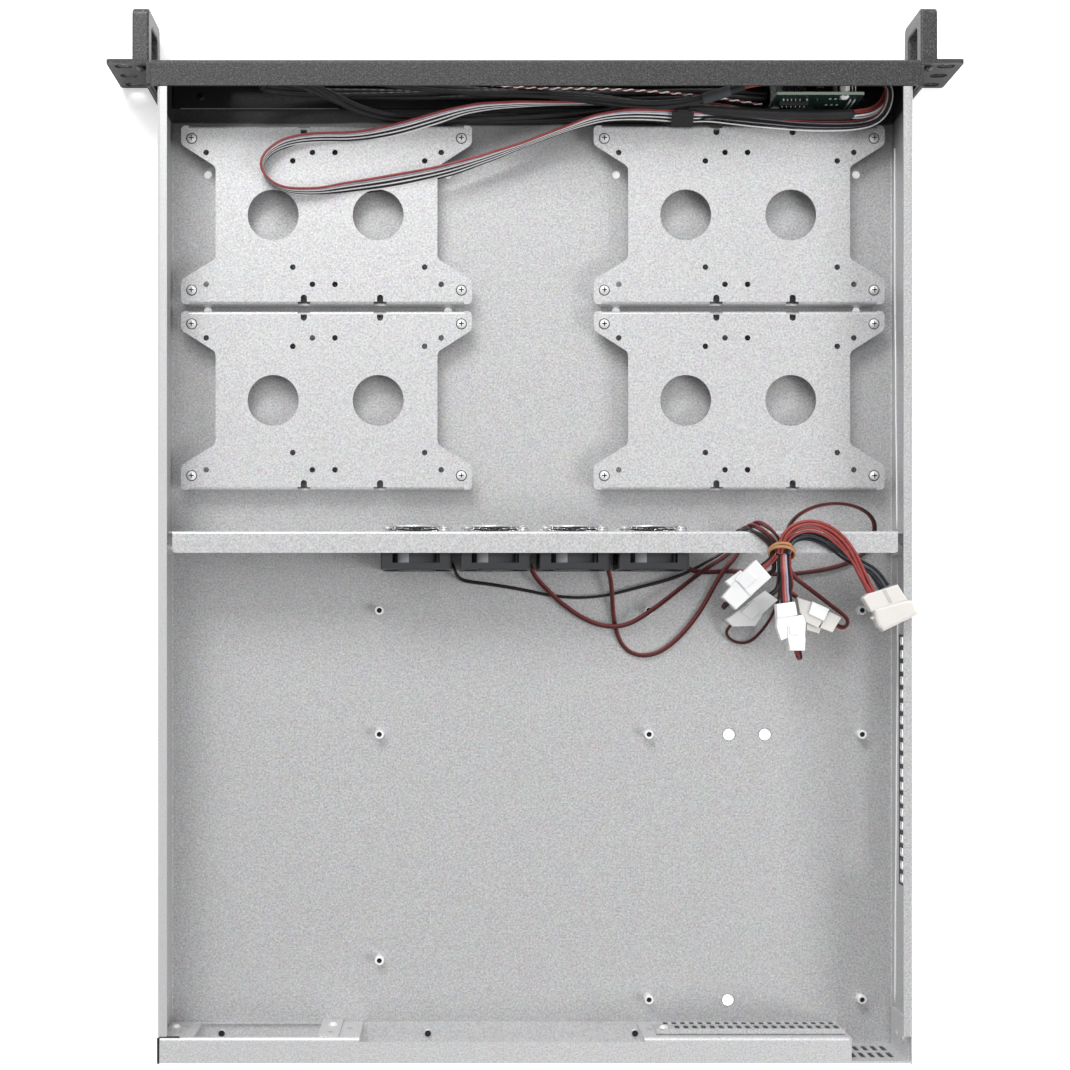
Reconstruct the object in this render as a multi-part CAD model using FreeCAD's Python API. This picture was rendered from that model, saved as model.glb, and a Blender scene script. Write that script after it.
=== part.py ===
import FreeCAD, Part
import os, math
from FreeCAD import Vector as V3

# 1U 19-inch rackmount chassis, lid off.  Lengths in mm.
# Modelling coordinates: X to the right seen from the front, V backwards from the
# front face of the panel, Z up from the underside of the floor.
# save() shifts V so that the origin is the middle of the footprint.

# ---------------------------------------------------------------- dimensions
DEPTH = 565.0            # front face of the panel to the rear edge
HANDLE_OUT = 31.0        # handles stand this far in front of the panel
HEIGHT = 44.0            # 1U chassis height
BODY_W = 425.0           # width over the side walls
PANEL_W = 432.6          # width over the front channel
EAR_W = 482.6            # 19-inch panel width over the ears
T = 1.2                  # galvanised sheet
TP = 1.5                 # front channel sheet
TE = 2.2                 # rack ear sheet
FLANGE = 5.5             # in-turned top flange of the side walls
CHANNEL = 14.8           # depth of the front channel
TAB_W = 22.0             # front tabs of the side walls
Y_FRONT = -(DEPTH - HANDLE_OUT) / 2.0

HW = BODY_W / 2.0
PW = PANEL_W / 2.0
EW = EAR_W / 2.0

# rack ear slots, EIA-310 universal spacing
EAR_SLOT_X = 232.55
EAR_SLOT_Z = (HEIGHT / 2 - 15.875, HEIGHT / 2, HEIGHT / 2 + 15.875)
EAR_SLOT_L, EAR_SLOT_R = 10.0, 3.3

# handles
HANDLE_X = 222.6
HANDLE_W = 9.6
HANDLE_Z0, HANDLE_Z1 = 4.0, 40.0
HANDLE_T = 8.6

# drive brackets
BR_X = 119.8             # centre distance from the middle
BR_V = (79.7, 187.4)     # centres behind the front face
BR_L, BR_D = 168.9, 103.7
BR_TOP = 12.0            # top face above the underside of the floor
BR_SCREW_X, BR_SCREW_V0, BR_SCREW_V1 = 78.3, -44.4, 43.7

# motherboard standoffs, ATX hole pattern
MB_X0 = 89.4             # column of the input/output side
MB_V0 = 536.6            # rear row
MB_COLS = (0.0, 157.48, 281.94)
MB_ROWS = (0.0, 154.94, 227.33)
MB_REAR_STEP = 22.86
MB_H = 6.0               # standoff height above the floor

# fan wall and fans
FW_V = 265.2             # front face of the fan wall
FW_D = 12.3              # depth of its top flange
FW_TOP = 43.2
FAN = 40.0
FAN_D = 20.0
FAN_X = (67.05, 22.35, -22.35, -67.05)
FAN_Z = 21.5

# rear panel
RV = 550.0               # inner face of the recessed wall
REAR_CORNER_X = -176.6   # the recess ends here, the vented corner begins
VENT_PITCH = 5.08

# control board
CB_X0, CB_X1 = -187.0, -137.0
CB_V0, CB_V1 = 16.0, 17.6
CB_Z0, CB_Z1 = 8.0, 36.0

os.makedirs("parts", exist_ok=True)
SAVED = {}


def save(name, shape):
    s = shape.copy()
    s.translate(V3(0, Y_FRONT, 0))
    s.exportStep("parts/%s.step" % name)
    SAVED[name] = s
    b = s.BoundBox
    print("%-24s solids %2d valid %s vol %9.1f  x %7.1f %7.1f  y %7.1f %7.1f  z %6.2f %6.2f" % (
        name, len(s.Solids), s.isValid(), s.Volume, b.XMin, b.XMax, b.YMin, b.YMax, b.ZMin, b.ZMax))


def box(x0, x1, v0, v1, z0, z1):
    return Part.makeBox(x1 - x0, v1 - v0, z1 - z0, V3(x0, v0, z0))


def cyl(x, v, z, r, h, axis=(0, 0, 1)):
    return Part.makeCylinder(r, h, V3(x, v, z), V3(*axis))


def fuse(shapes):
    s = shapes[0].multiFuse(shapes[1:]) if len(shapes) > 1 else shapes[0]
    return s.removeSplitter()


def one(shape):
    # a fused result as a single plain solid
    return shape.Solids[0] if len(shape.Solids) == 1 else shape


def bent(pts, t, rin, plane, lo, hi):
    # a folded strip: mid-line points in a plane, sheet thickness, inner bend
    # radius; plane "xz" is extruded along V, "vz" along X, "xv" along Z
    rm = rin + t / 2.0
    P = [V3(a, b, 0) for a, b in pts]
    left, right = [], []
    n = len(P)
    D = []
    for i in range(n - 1):
        d = P[i + 1] - P[i]
        d.normalize()
        D.append(d)
    N = [V3(-d.y, d.x, 0) for d in D]
    left.append(("p", P[0] + N[0] * (t / 2)))
    right.append(("p", P[0] - N[0] * (t / 2)))
    for i in range(1, n - 1):
        d1, d2, n1, n2 = D[i - 1], D[i], N[i - 1], N[i]
        cr = d1.x * d2.y - d1.y * d2.x
        dt = d1.x * d2.x + d1.y * d2.y
        th = math.atan2(abs(cr), dt)
        sg = 1.0 if cr > 0 else -1.0
        d = rm * math.tan(th / 2)
        t1, t2 = P[i] - d1 * d, P[i] + d2 * d
        O = t1 + n1 * (rm * sg)
        w = P[i] - O
        w.normalize()
        left.append(("a", t1 + n1 * (t / 2), O + w * (rm - sg * t / 2), t2 + n2 * (t / 2)))
        right.append(("a", t1 - n1 * (t / 2), O + w * (rm + sg * t / 2), t2 - n2 * (t / 2)))
    left.append(("p", P[-1] + N[-1] * (t / 2)))
    right.append(("p", P[-1] - N[-1] * (t / 2)))

    def m(p, h):
        if plane == "xz":
            return V3(p.x, h, p.y)
        if plane == "vz":
            return V3(h, p.x, p.y)
        return V3(p.x, p.y, h)

    def chain(side):
        E = []
        cur = side[0][1]
        for s in side[1:]:
            if s[0] == "a":
                if (s[1] - cur).Length > 1e-6:
                    E.append(("l", cur, s[1]))
                E.append(("a", s[1], s[2], s[3]))
                cur = s[3]
            else:
                E.append(("l", cur, s[1]))
                cur = s[1]
        return E

    L = chain(left)
    R = chain(right)
    edges = []
    for e in L:
        if e[0] == "l":
            edges.append(Part.LineSegment(m(e[1], lo), m(e[2], lo)).toShape())
        else:
            edges.append(Part.Arc(m(e[1], lo), m(e[2], lo), m(e[3], lo)).toShape())
    edges.append(Part.LineSegment(m(left[-1][1], lo), m(right[-1][1], lo)).toShape())
    for e in reversed(R):
        if e[0] == "l":
            edges.append(Part.LineSegment(m(e[2], lo), m(e[1], lo)).toShape())
        else:
            edges.append(Part.Arc(m(e[3], lo), m(e[2], lo), m(e[1], lo)).toShape())
    edges.append(Part.LineSegment(m(right[0][1], lo), m(left[0][1], lo)).toShape())
    f = Part.Face(Part.Wire(edges))
    ex = hi - lo
    v = {"xz": V3(0, ex, 0), "vz": V3(ex, 0, 0), "xv": V3(0, 0, ex)}[plane]
    return f.extrude(v)


def slot_z(x, v, z0, z1, w, depth, axis):
    # an upright slot with round ends, cut along axis "v" or "x"; x, v is its
    # centre, z0..z1 its full length, w its width
    r = w / 2.0
    if axis == "v":
        s = box(x - r, x + r, v - depth, v + depth, z0 + r, z1 - r)
        a = cyl(x, v - depth, z0 + r, r, 2 * depth, (0, 1, 0))
        b = cyl(x, v - depth, z1 - r, r, 2 * depth, (0, 1, 0))
    else:
        s = box(x - depth, x + depth, v - r, v + r, z0 + r, z1 - r)
        a = cyl(x - depth, v, z0 + r, r, 2 * depth, (1, 0, 0))
        b = cyl(x - depth, v, z1 - r, r, 2 * depth, (1, 0, 0))
    return fuse([s, a, b])


def slot_x(x, v, z, length, r, depth):
    # a level slot with round ends through an upright plate
    h = length / 2.0 - r
    return fuse([box(x - h, x + h, v - depth, v + depth, z - r, z + r),
                 cyl(x - h, v - depth, z, r, 2 * depth, (0, 1, 0)),
                 cyl(x + h, v - depth, z, r, 2 * depth, (0, 1, 0))])


def edges_where(shape, test):
    return [e for e in shape.Edges if test(e)]


def pan_screw(p, axis, r_head, h_head, r_shank, l_shank, recess=True):
    # pan head with a cross recess; p is the bearing face's centre, axis points
    # out of the head, the shank runs the other way
    a = V3(*axis)
    head = Part.makeCylinder(r_head, h_head * 0.55, V3(0, 0, 0))
    cap_r = (r_head ** 2 + (h_head * 0.9) ** 2) / (2 * h_head * 0.9)
    ball = Part.makeSphere(cap_r, V3(0, 0, h_head - cap_r))
    head = Part.makeCylinder(r_head, h_head).common(ball)
    s = head.fuse(Part.makeCylinder(r_shank, l_shank, V3(0, 0, -l_shank)))
    if recess:
        k = r_head * 0.52
        w = r_head * 0.13
        dpt = h_head * 0.6
        s = s.cut(Part.makeBox(2 * k, 2 * w, dpt + 1, V3(-k, -w, h_head - dpt)))
        s = s.cut(Part.makeBox(2 * w, 2 * k, dpt + 1, V3(-w, -k, h_head - dpt)))
    s = s.removeSplitter()
    rot = FreeCAD.Rotation(V3(0, 0, 1), a)
    s.Placement = FreeCAD.Placement(V3(*p), rot)
    return s


def rivet(p, axis, r=2.5, h=1.2, shank=2.4):
    # blind rivet: low dome with its hollow stem hole
    a = V3(*axis)
    cap_r = (r ** 2 + h ** 2) / (2 * h)
    s = Part.makeCylinder(r, h).common(Part.makeSphere(cap_r, V3(0, 0, h - cap_r)))
    s = s.fuse(Part.makeCylinder(1.6, shank, V3(0, 0, -shank)))
    s = s.cut(Part.makeCylinder(0.9, h + 0.9, V3(0, 0, -0.6)))
    s = s.removeSplitter()
    s.Placement = FreeCAD.Placement(V3(*p), FreeCAD.Rotation(V3(0, 0, 1), a))
    return s


# ================================================================ chassis tray
WALL = HW - T / 2.0
tray = bent([(HW - FLANGE, HEIGHT - T / 2), (WALL, HEIGHT - T / 2), (WALL, T / 2), (-WALL, T / 2),
             (-WALL, HEIGHT - T / 2), (-(HW - FLANGE), HEIGHT - T / 2)], T, 0.8, "xz", 0.8, DEPTH)
# the front end passes under the channel: no top flange and lower walls there
tray = tray.cut(box(-HW - 1, HW + 1, 0, CHANNEL + 0.5, HEIGHT - 2.6, HEIGHT + 1))
tray = tray.cut(box(-HW - 1, HW + 1, 0, TP + 0.25, T, HEIGHT + 1))
# behind the rear bar's front edge the top flanges stop
tray = tray.cut(box(-HW + T, HW - T, RV - 0.6, DEPTH + 1, HEIGHT - 1.9, HEIGHT + 1))
tabs = []
for s in (-1, 1):
    x0, x1 = sorted((s * (HW - 0.2), s * (HW - TAB_W)))
    tabs.append(box(x0, x1, TP + 0.25, TP + 0.25 + T, 5.0, HEIGHT - 4.0))
tray = fuse([tray] + tabs)
# clear holes for locating drives and for the underside screws
FLOOR_HOLES = []
for sx in (-1, 1):
    for dx in (-70.5, 70.5):
        for v in (53.4, 133.5):
            FLOOR_HOLES.append((sx * BR_X + dx, v, 2.3))
FLOOR_HOLES += [(-115.6, 382.0, 3.5), (-136.7, 382.0, 3.5), (-115.0, 537.8, 3.5)]
cuts = [cyl(x, v, -1, r, 4) for x, v, r in FLOOR_HOLES]
# side vents of the right wall, 19 upright slots
WALL_VENT_V0, WALL_VENT_PITCH, WALL_VENT_N = 327.2, 7.56, 19
for i in range(WALL_VENT_N):
    cuts.append(slot_z(-WALL, WALL_VENT_V0 + i * WALL_VENT_PITCH, 19.6, 36.4, 4.6, 2.0, "x"))
# rivets: rear flange, front flange, rear right corner
RIV_REAR = [(181.9, 557.0), (61.1, 557.0), (-60.2, 557.0)]
RIV_FRONT = [(194.0, 8.2), (66.0, 8.2), (-66.0, 8.2), (-194.0, 8.2)]
RIV_SIDE = [(554.0, 17.0), (554.0, 31.0)]
for x, v in RIV_REAR + RIV_FRONT:
    cuts.append(cyl(x, v, -1, 1.62, 4))
for v, z in RIV_SIDE:
    cuts.append(cyl(-HW - 1, v, z, 1.62, 4, (1, 0, 0)))
# fan wall screws pass through both walls
FWS_V, FWS_Z = FW_V + 7.5, (12.0, 28.0)
for s in (-1, 1):
    for z in FWS_Z:
        cuts.append(cyl(s * HW - 3, FWS_V, z, 1.65, 6, (1, 0, 0)))
tray = one(tray.cut(Part.Compound(cuts)))
save("chassis_tray", tray)

# ================================================================ rear panel
XL = HW - T - 0.3        # its left end, just inside the wall
prof = bent([(DEPTH - 0.6, HEIGHT - T / 2), (RV + T / 2, HEIGHT - T / 2), (RV + T / 2, T + T / 2),
             (DEPTH - 2.5, T + T / 2)], T, 0.8, "vz", REAR_CORNER_X, XL)
# vented corner wall at the full depth, with its jog and its flange on the side wall
jog = box(REAR_CORNER_X - T, REAR_CORNER_X, RV, DEPTH - 0.6, T, HEIGHT)
corner = box(-HW + T, REAR_CORNER_X, DEPTH - 0.6 - T, DEPTH - 0.6, T, HEIGHT)
side = box(-HW + T, -HW + 2 * T, 541.0, DEPTH - 0.6, 4.0, HEIGHT - 4.0)
rear = fuse([prof, jog, corner, side])
cuts = []
# power supply opening, with a low sill
PSU_X0, PSU_X1 = 122.5, 193.0
cuts.append(box(PSU_X0, PSU_X1, RV - 1, RV + 2.2, 4.4, HEIGHT - 1.9))
# input/output opening of an ATX board, cut into the bend of the top bar
IO_X0, IO_X1 = -61.6, 98.9
cuts.append(box(IO_X0, IO_X1, RV - 1, RV + 2.6, 2 * T, HEIGHT + 1))
# expansion slot aperture
SLOT_X0, SLOT_X1, SLOT_Z0, SLOT_Z1 = -173.0, -79.5, 16.5, 33.5
cuts.append(box(SLOT_X0, SLOT_X1, RV - 1, RV + 2.2, SLOT_Z0, SLOT_Z1))
# lower vent row
VENT_X0 = -77.4
for i in range(20):
    x = VENT_X0 - i * VENT_PITCH
    if x - 1.4 > REAR_CORNER_X:
        cuts.append(slot_z(x, RV + 0.6, 4.0, 13.4, 2.8, 2.0, "v"))
# corner vents, two rows of four and the last beside the jog
for z0, z1, n, xs in ((7.5, 19.0, 5, -181.5), (23.0, 35.0, 5, -181.5)):
    for i in range(n):
        cuts.append(slot_z(xs - i * 5.3, DEPTH - 1.2, z0, z1, 2.8, 2.0, "v"))
# screw holes beside the openings
REAR_HOLES = [(105.6, 20.0, 1.7), (-66.5, 23.0, 1.7), (200.0, 17.0, 1.6), (200.0, 33.0, 1.6)]
for x, z, r in REAR_HOLES:
    cuts.append(cyl(x, RV - 2, z, r, 6, (0, 1, 0)))
CS_REAR = [(206.4, 17.0, RV), (115.5, 17.0, RV - T), (-74.6, 24.5, RV - 1.0)]
for x, z, v in CS_REAR:
    cuts.append(cyl(x, RV - 2, z, 1.55, 6, (0, 1, 0)))
for x, v in RIV_REAR:
    cuts.append(cyl(x, v, 0, 1.62, 6))
for v, z in RIV_SIDE:
    cuts.append(cyl(-HW, v, z, 1.62, 4, (1, 0, 0)))
# relief over the floor's bends
for s in (-1, 1):
    x0, x1 = sorted((s * (HW - T - 1.0), s * (HW - T + 0.1)))
    cuts.append(box(x0, x1, 530, DEPTH + 1, T - 0.1, T + 1.0))
rear = one(rear.cut(Part.Compound(cuts)))
save("rear_panel", rear)

# doubling plate at the power supply opening's right edge
psu = box(110.5, 122.4, RV - T, RV, T + 0.2, HEIGHT - 2.2)
psu = psu.makeFillet(1.5, edges_where(psu, lambda e: abs(e.Length - T) < 1e-6 and e.BoundBox.ZMin > 30))
psu = psu.cut(cyl(115.5, RV - 3, 17.0, 1.55, 6, (0, 1, 0))).cut(cyl(115.5, RV - 3, 35.0, 1.5, 6, (0, 1, 0)))
save("psu_bracket", one(psu))

# expansion slot cover inside the wall: vented plate with a turned-in top lip
cov = bent([(RV - 3.6, 37.2), (RV - 0.5, 37.2), (RV - 0.5, 14.6)], 1.0, 0.5, "vz", -175.4, -69.0)
cuts = [slot_z(VENT_X0 - 5.08 - i * VENT_PITCH, RV - 0.5, 17.5, 32.8, 2.8, 2.0, "v") for i in range(19)]
cuts.append(cyl(-74.6, RV - 3, 24.5, 1.55, 6, (0, 1, 0)))
cov = one(cov.cut(Part.Compound(cuts)))
save("expansion_slot_cover", cov)

# ================================================================ front channel
zc = T
fp = bent([(CHANNEL, HEIGHT - TP / 2), (TP / 2, HEIGHT - TP / 2), (TP / 2, zc + TP / 2), (CHANNEL, zc + TP / 2)],
          TP, 0.8, "vz", -PW, PW)
ends = [box(-PW, -PW + TP, TP * 0.5, CHANNEL, zc + 0.9, HEIGHT - 0.9), box(PW - TP, PW, TP * 0.5, CHANNEL, zc + 0.9, HEIGHT - 0.9)]
fp = fuse([fp] + ends)
cuts = []
# controls, at the left seen from the front
USB_X, USB_Z, USB_W, USB_H = -148.3, 22.0, 13.2, 15.6
cuts.append(box(USB_X - USB_W / 2 - 0.3, USB_X + USB_W / 2 + 0.3, -1, 3, USB_Z - USB_H / 2 - 0.3, USB_Z + USB_H / 2 + 0.3))
PB_X, PB_Z, PB_R = -164.5, 22.0, 4.2
RB_X, RB_Z, RB_R = -174.5, 15.0, 1.7
cuts.append(cyl(PB_X, -1, PB_Z, PB_R + 0.3, 4, (0, 1, 0)))
cuts.append(cyl(RB_X, -1, RB_Z, RB_R + 0.3, 4, (0, 1, 0)))
LED_X, LED_ZS = -182.5, (14.0, 21.5, 29.0)
for z in LED_ZS:
    cuts.append(cyl(LED_X, -1, z, 1.6, 4, (0, 1, 0)))
# intake vents: two fields of upright slots in two rows
for x0, n in ((-118.0, 22), (12.0, 33)):
    for i in range(n):
        x = x0 + i * VENT_PITCH
        for z0, z1 in ((9.0, 21.0), (24.0, 36.0)):
            cuts.append(slot_z(x, TP / 2, z0, z1, 2.8, 1.2, "v"))
# ear screws and rivets
EAR_SCREW = [(8.0, 12.0), (8.0, 32.0)]
for s in (-1, 1):
    for v, z in EAR_SCREW:
        cuts.append(cyl(s * PW - 4, v, z, 1.65, 8, (1, 0, 0)))
for x, v in RIV_FRONT:
    cuts.append(cyl(x, v, 0, 1.62, 6))
# the bottom flange lies on the floor between the side walls
for s in (-1, 1):
    x0, x1 = sorted((s * (HW - T - 1.0), s * (PW - TP)))
    cuts.append(box(x0, x1, TP + 0.1, CHANNEL + 1, zc - 0.1, zc + TP + 0.1))
fp = one(fp.cut(Part.Compound(cuts)))
save("front_panel", fp)

# ================================================================ rack ears, handles
def handle(x):
    # U bar of a flat section: two legs off the ear and the grip, with rounded outer corners and eased edges
    w = HANDLE_W / 2.0
    o = box(x - w, x + w, -HANDLE_OUT, 0.0, HANDLE_Z0, HANDLE_Z1)
    o = o.makeFillet(4.2, [e for e in o.Edges if abs(e.Length - HANDLE_W) < 1e-6 and e.BoundBox.YMax < -1.0])
    n = box(x - w - 1, x + w + 1, -HANDLE_OUT + HANDLE_T, 1.0, HANDLE_Z0 + HANDLE_T, HANDLE_Z1 - HANDLE_T)
    n = n.makeFillet(3.0, [e for e in n.Edges if abs(e.Length - HANDLE_W - 2) < 1e-6 and e.BoundBox.YMax < 0.0])
    h = one(o.cut(n))
    side = [e for e in h.Edges if abs(e.BoundBox.XMin - e.BoundBox.XMax) < 1e-6
            and abs(abs(e.BoundBox.XMin - x) - w) < 1e-6 and not (e.BoundBox.YMin > -1e-3 and e.BoundBox.YMax < 1e-3)]
    return one(h.makeFillet(1.3, side))


for name, s in (("left", 1), ("right", -1)):
    # named as seen from behind the open case: left is +X
    ear = bent([(s * EW, TE / 2), (s * (PW + 0.1 + TE / 2), TE / 2), (s * (PW + 0.1 + TE / 2), CHANNEL + 0.3)],
               TE, 0.8, "xv", 0.0, HEIGHT)
    tip = [e for e in ear.Edges if abs(e.Length - TE) < 1e-3 and abs(abs(e.BoundBox.XMin) - EW) < 1e-3]
    ear = ear.makeFillet(2.0, tip)
    back = [e for e in ear.Edges if abs(e.Length - TE) < 1e-3 and abs(e.BoundBox.YMin - CHANNEL - 0.3) < 1e-3]
    ear = ear.makeFillet(1.5, back)
    cuts = [slot_x(s * EAR_SLOT_X, TE / 2, z, EAR_SLOT_L, EAR_SLOT_R, 3.0) for z in EAR_SLOT_Z]
    for z in (HANDLE_Z0 + HANDLE_T / 2, HANDLE_Z1 - HANDLE_T / 2):
        cuts.append(cyl(s * HANDLE_X, -2, z, 1.65, 6, (0, 1, 0)))
    for v, z in EAR_SCREW:
        cuts.append(cyl(s * (PW + 1.2) - 4, v, z, 1.65, 8, (1, 0, 0)))
    ear = one(ear.cut(Part.Compound(cuts)))
    save("rack_ear_" + name, ear)

    h = handle(s * HANDLE_X)
    for z in (HANDLE_Z0 + HANDLE_T / 2, HANDLE_Z1 - HANDLE_T / 2):
        h = h.cut(cyl(s * HANDLE_X, -9.2, z, 1.55, 9.3, (0, 1, 0)))
    save("handle_" + name, one(h))

scr = []
for s in (-1, 1):
    for z in (HANDLE_Z0 + HANDLE_T / 2, HANDLE_Z1 - HANDLE_T / 2):
        scr.append(pan_screw((s * HANDLE_X, TE, z), (0, 1, 0), 3.0, 2.0, 1.5, 9.0))
    for v, z in EAR_SCREW:
        scr.append(pan_screw((s * (PW + 0.1 + TE), v, z), (s, 0, 0), 3.0, 2.0, 1.5, 5.0))
save("ear_screws", Part.Compound(scr))

# ================================================================ drive brackets
def bracket(cx, cv):
    w, d = BR_L / 2, BR_D / 2
    wx = 64.4
    pts = [(-w, -d), (w, -d), (w, -40.9), (wx, -28.1), (wx, 25.4), (w, 37.7), (w, d), (-w, d),
           (-w, 37.7), (-wx, 25.4), (-wx, -28.1), (-w, -40.9)]
    wire = Part.makePolygon([V3(a, b, 0) for a, b in pts + pts[:1]])
    plate = Part.Face(wire).extrude(V3(0, 0, T))
    ups = [e for e in plate.Edges if abs(e.BoundBox.ZMax - e.BoundBox.ZMin - T) < 1e-6 and e.Length < T + 1e-6]
    corner_e = [e for e in ups if not (abs(abs(e.BoundBox.XMin) - w) < 1e-6 and abs(abs(e.BoundBox.YMin) - d) < 1e-6)]
    plate = plate.makeFillet(4.0, corner_e)
    ups = [e for e in plate.Edges if e.Length < T + 1e-6 and e.BoundBox.ZMax - e.BoundBox.ZMin > T - 1e-6
           and abs(abs(e.BoundBox.XMin) - w) < 1e-6 and abs(abs(e.BoundBox.YMin) - d) < 1e-6]
    plate = plate.makeFillet(2.5, ups)
    plate.translate(V3(0, 0, BR_TOP - T))
    parts = [plate]
    for sg in (-1, 1):
        # down-turned flange with a rounded fold
        fl = bent([(sg * (d - 4.0), BR_TOP - T / 2), (sg * (d - T / 2), BR_TOP - T / 2), (sg * (d - T / 2), T)],
                  T, 0.6, "vz", -w + 4.5, w - 4.5)
        parts.append(fl)
        # trim the square edge of the plate over the fold
    trim = []
    for sg in (-1, 1):
        sq = box(-w + 4.5, w - 4.5, min(sg * d, sg * (d - 1.8)), max(sg * d, sg * (d - 1.8)), BR_TOP - 1.8, BR_TOP)
        rd = Part.makeCylinder(1.8, BR_L - 9.0, V3(-w + 4.5, sg * (d - 1.8), BR_TOP - 1.8), V3(1, 0, 0))
        trim.append(sq.cut(rd))
    s = fuse(parts)
    for tcut in trim:
        s = s.cut(tcut)
    cuts = []
    for a in (-31.0, 30.0):
        cuts.append(cyl(a, 0, 5, 14.8, 10))
    for a, b in ((-69.9, -36.3), (-69.9, 40.3), (-8.2, -36.3), (-8.2, 40.3), (4.9, -36.3), (4.9, 40.3), (66.6, -36.3),
                 (66.6, 40.3), (-19.6, -31.4), (-19.6, 30.3), (57.0, -31.4), (57.0, 30.3)):
        cuts.append(cyl(a, b, 5, 1.65, 10))
    for a in (-BR_SCREW_X, BR_SCREW_X):
        for b in (BR_SCREW_V0, BR_SCREW_V1):
            cuts.append(cyl(a, b, 5, 1.7, 10))
    for a in (-13.2, 31.1):
        for sg in (-1, 1):
            e0, e1 = sorted((sg * (d - 5.6 + 1.8), sg * (d + 1)))
            cuts.append(box(a - 1.8, a + 1.8, e0, e1, BR_TOP - T - 0.1, BR_TOP + 1))
            cuts.append(cyl(a, sg * (d - 5.6 + 1.8), BR_TOP - T - 0.1, 1.8, 3))
            e0, e1 = sorted((sg * (d - 1.5), sg * (d + 1)))
            cuts.append(box(a - 3.7, a + 3.7, e0, e1, 7.5, BR_TOP + 1))
    s = one(s.cut(Part.Compound(cuts)))
    s.translate(V3(cx, cv, 0))
    return s


BR = [(BR_X, BR_V[0]), (-BR_X, BR_V[0]), (BR_X, BR_V[1]), (-BR_X, BR_V[1])]
# seen from above with the front away, the plate's own pattern runs from the left wall
for i, (cx, cv) in enumerate(BR):
    b = bracket(0, 0)
    b = b.mirror(V3(0, 0, 0), V3(1, 0, 0))
    b.translate(V3(cx, cv, 0))
    save("drive_bracket_%d" % (i + 1), b)
st, sc = [], []
for cx, cv in BR:
    for a in (-BR_SCREW_X, BR_SCREW_X):
        for b in (BR_SCREW_V0, BR_SCREW_V1):
            x, v = cx + a, cv + b
            st.append(cyl(x, v, T, 3.0, BR_TOP - 2 * T).cut(cyl(x, v, BR_TOP - T - 6.5, 1.55, 7)))
            sc.append(pan_screw((x, v, BR_TOP), (0, 0, 1), 2.7, 1.9, 1.5, 6.0))
save("bracket_standoffs", Part.Compound(st))
save("bracket_screws", Part.Compound(sc))

# ================================================================ motherboard standoffs
mb = []
for ci, c in enumerate(MB_COLS):
    for ri, r in enumerate(MB_ROWS):
        step = MB_REAR_STEP if (ci == 0 and ri == 0) else 0.0
        x, v = MB_X0 - c, MB_V0 - r - step
        s = cyl(x, v, T, 2.7, MB_H)
        s = s.makeChamfer(0.35, edges_where(s, lambda e: e.BoundBox.ZMin > T + MB_H - 1e-3))
        mb.append(s.cut(cyl(x, v, T + 0.6, 1.5, MB_H)))
save("motherboard_standoffs", Part.Compound(mb))

# ================================================================ fan wall
mid = bent([(FW_V + FW_D, FW_TOP - T / 2), (FW_V + T / 2, FW_TOP - T / 2), (FW_V + T / 2, T)], T, 0.5, "vz", -204.0, 204.0)
parts = [mid]
for s in (-1, 1):
    x0, x1 = sorted((s * 203.9, s * (HW - T)))
    parts.append(box(x0, x1, FW_V, FW_V + T, T, 40.5))
    x0, x1 = sorted((s * (HW - 2 * T), s * (HW - T)))
    parts.append(box(x0, x1, FW_V, FW_V + FW_D, 3.0, 40.5))
fw = fuse(parts)
ce = [e for e in fw.Edges if abs(e.Length - T) < 1e-3 and e.BoundBox.ZMin > FW_TOP - T - 1e-3
      and abs(e.BoundBox.YMin - (FW_V + FW_D)) < 1e-3]
fw = fw.makeFillet(1.8, ce)
cuts = []
for x in FAN_X:
    cuts.append(cyl(x, FW_V - 2, FAN_Z, 18.9, 6, (0, 1, 0)))
    for dx in (-16, 16):
        for dz in (-16, 16):
            cuts.append(cyl(x + dx, FW_V - 2, FAN_Z + dz, 1.8, 6, (0, 1, 0)))
# cable notch to the right of the fans, open to the floor
NOTCH_X0, NOTCH_X1, NOTCH_Z = -203.4, -100.0, 27.0
nt = box(NOTCH_X0, NOTCH_X1, FW_V - 2, FW_V + 3, 0, NOTCH_Z)
nt = nt.makeFillet(4.0, [e for e in nt.Edges if abs(e.Length - 5.0) < 1e-6 and e.BoundBox.ZMin > 20])
cuts.append(nt)
for s in (-1, 1):
    x0, x1 = sorted((s * (HW - T - 1.0), s * (HW - T + 0.1)))
    cuts.append(box(x0, x1, FW_V - 1, FW_V + FW_D + 1, T - 0.1, T + 1.0))
for s in (-1, 1):
    for z in FWS_Z:
        cuts.append(cyl(s * (HW - 3), FWS_V, z, 1.55, 6, (s, 0, 0)))
        cuts.append(cyl(s * (HW - 3), FWS_V, z, 1.55, 3, (-s, 0, 0)))
fw = one(fw.cut(Part.Compound(cuts)))
save("fan_wall", fw)

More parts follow.
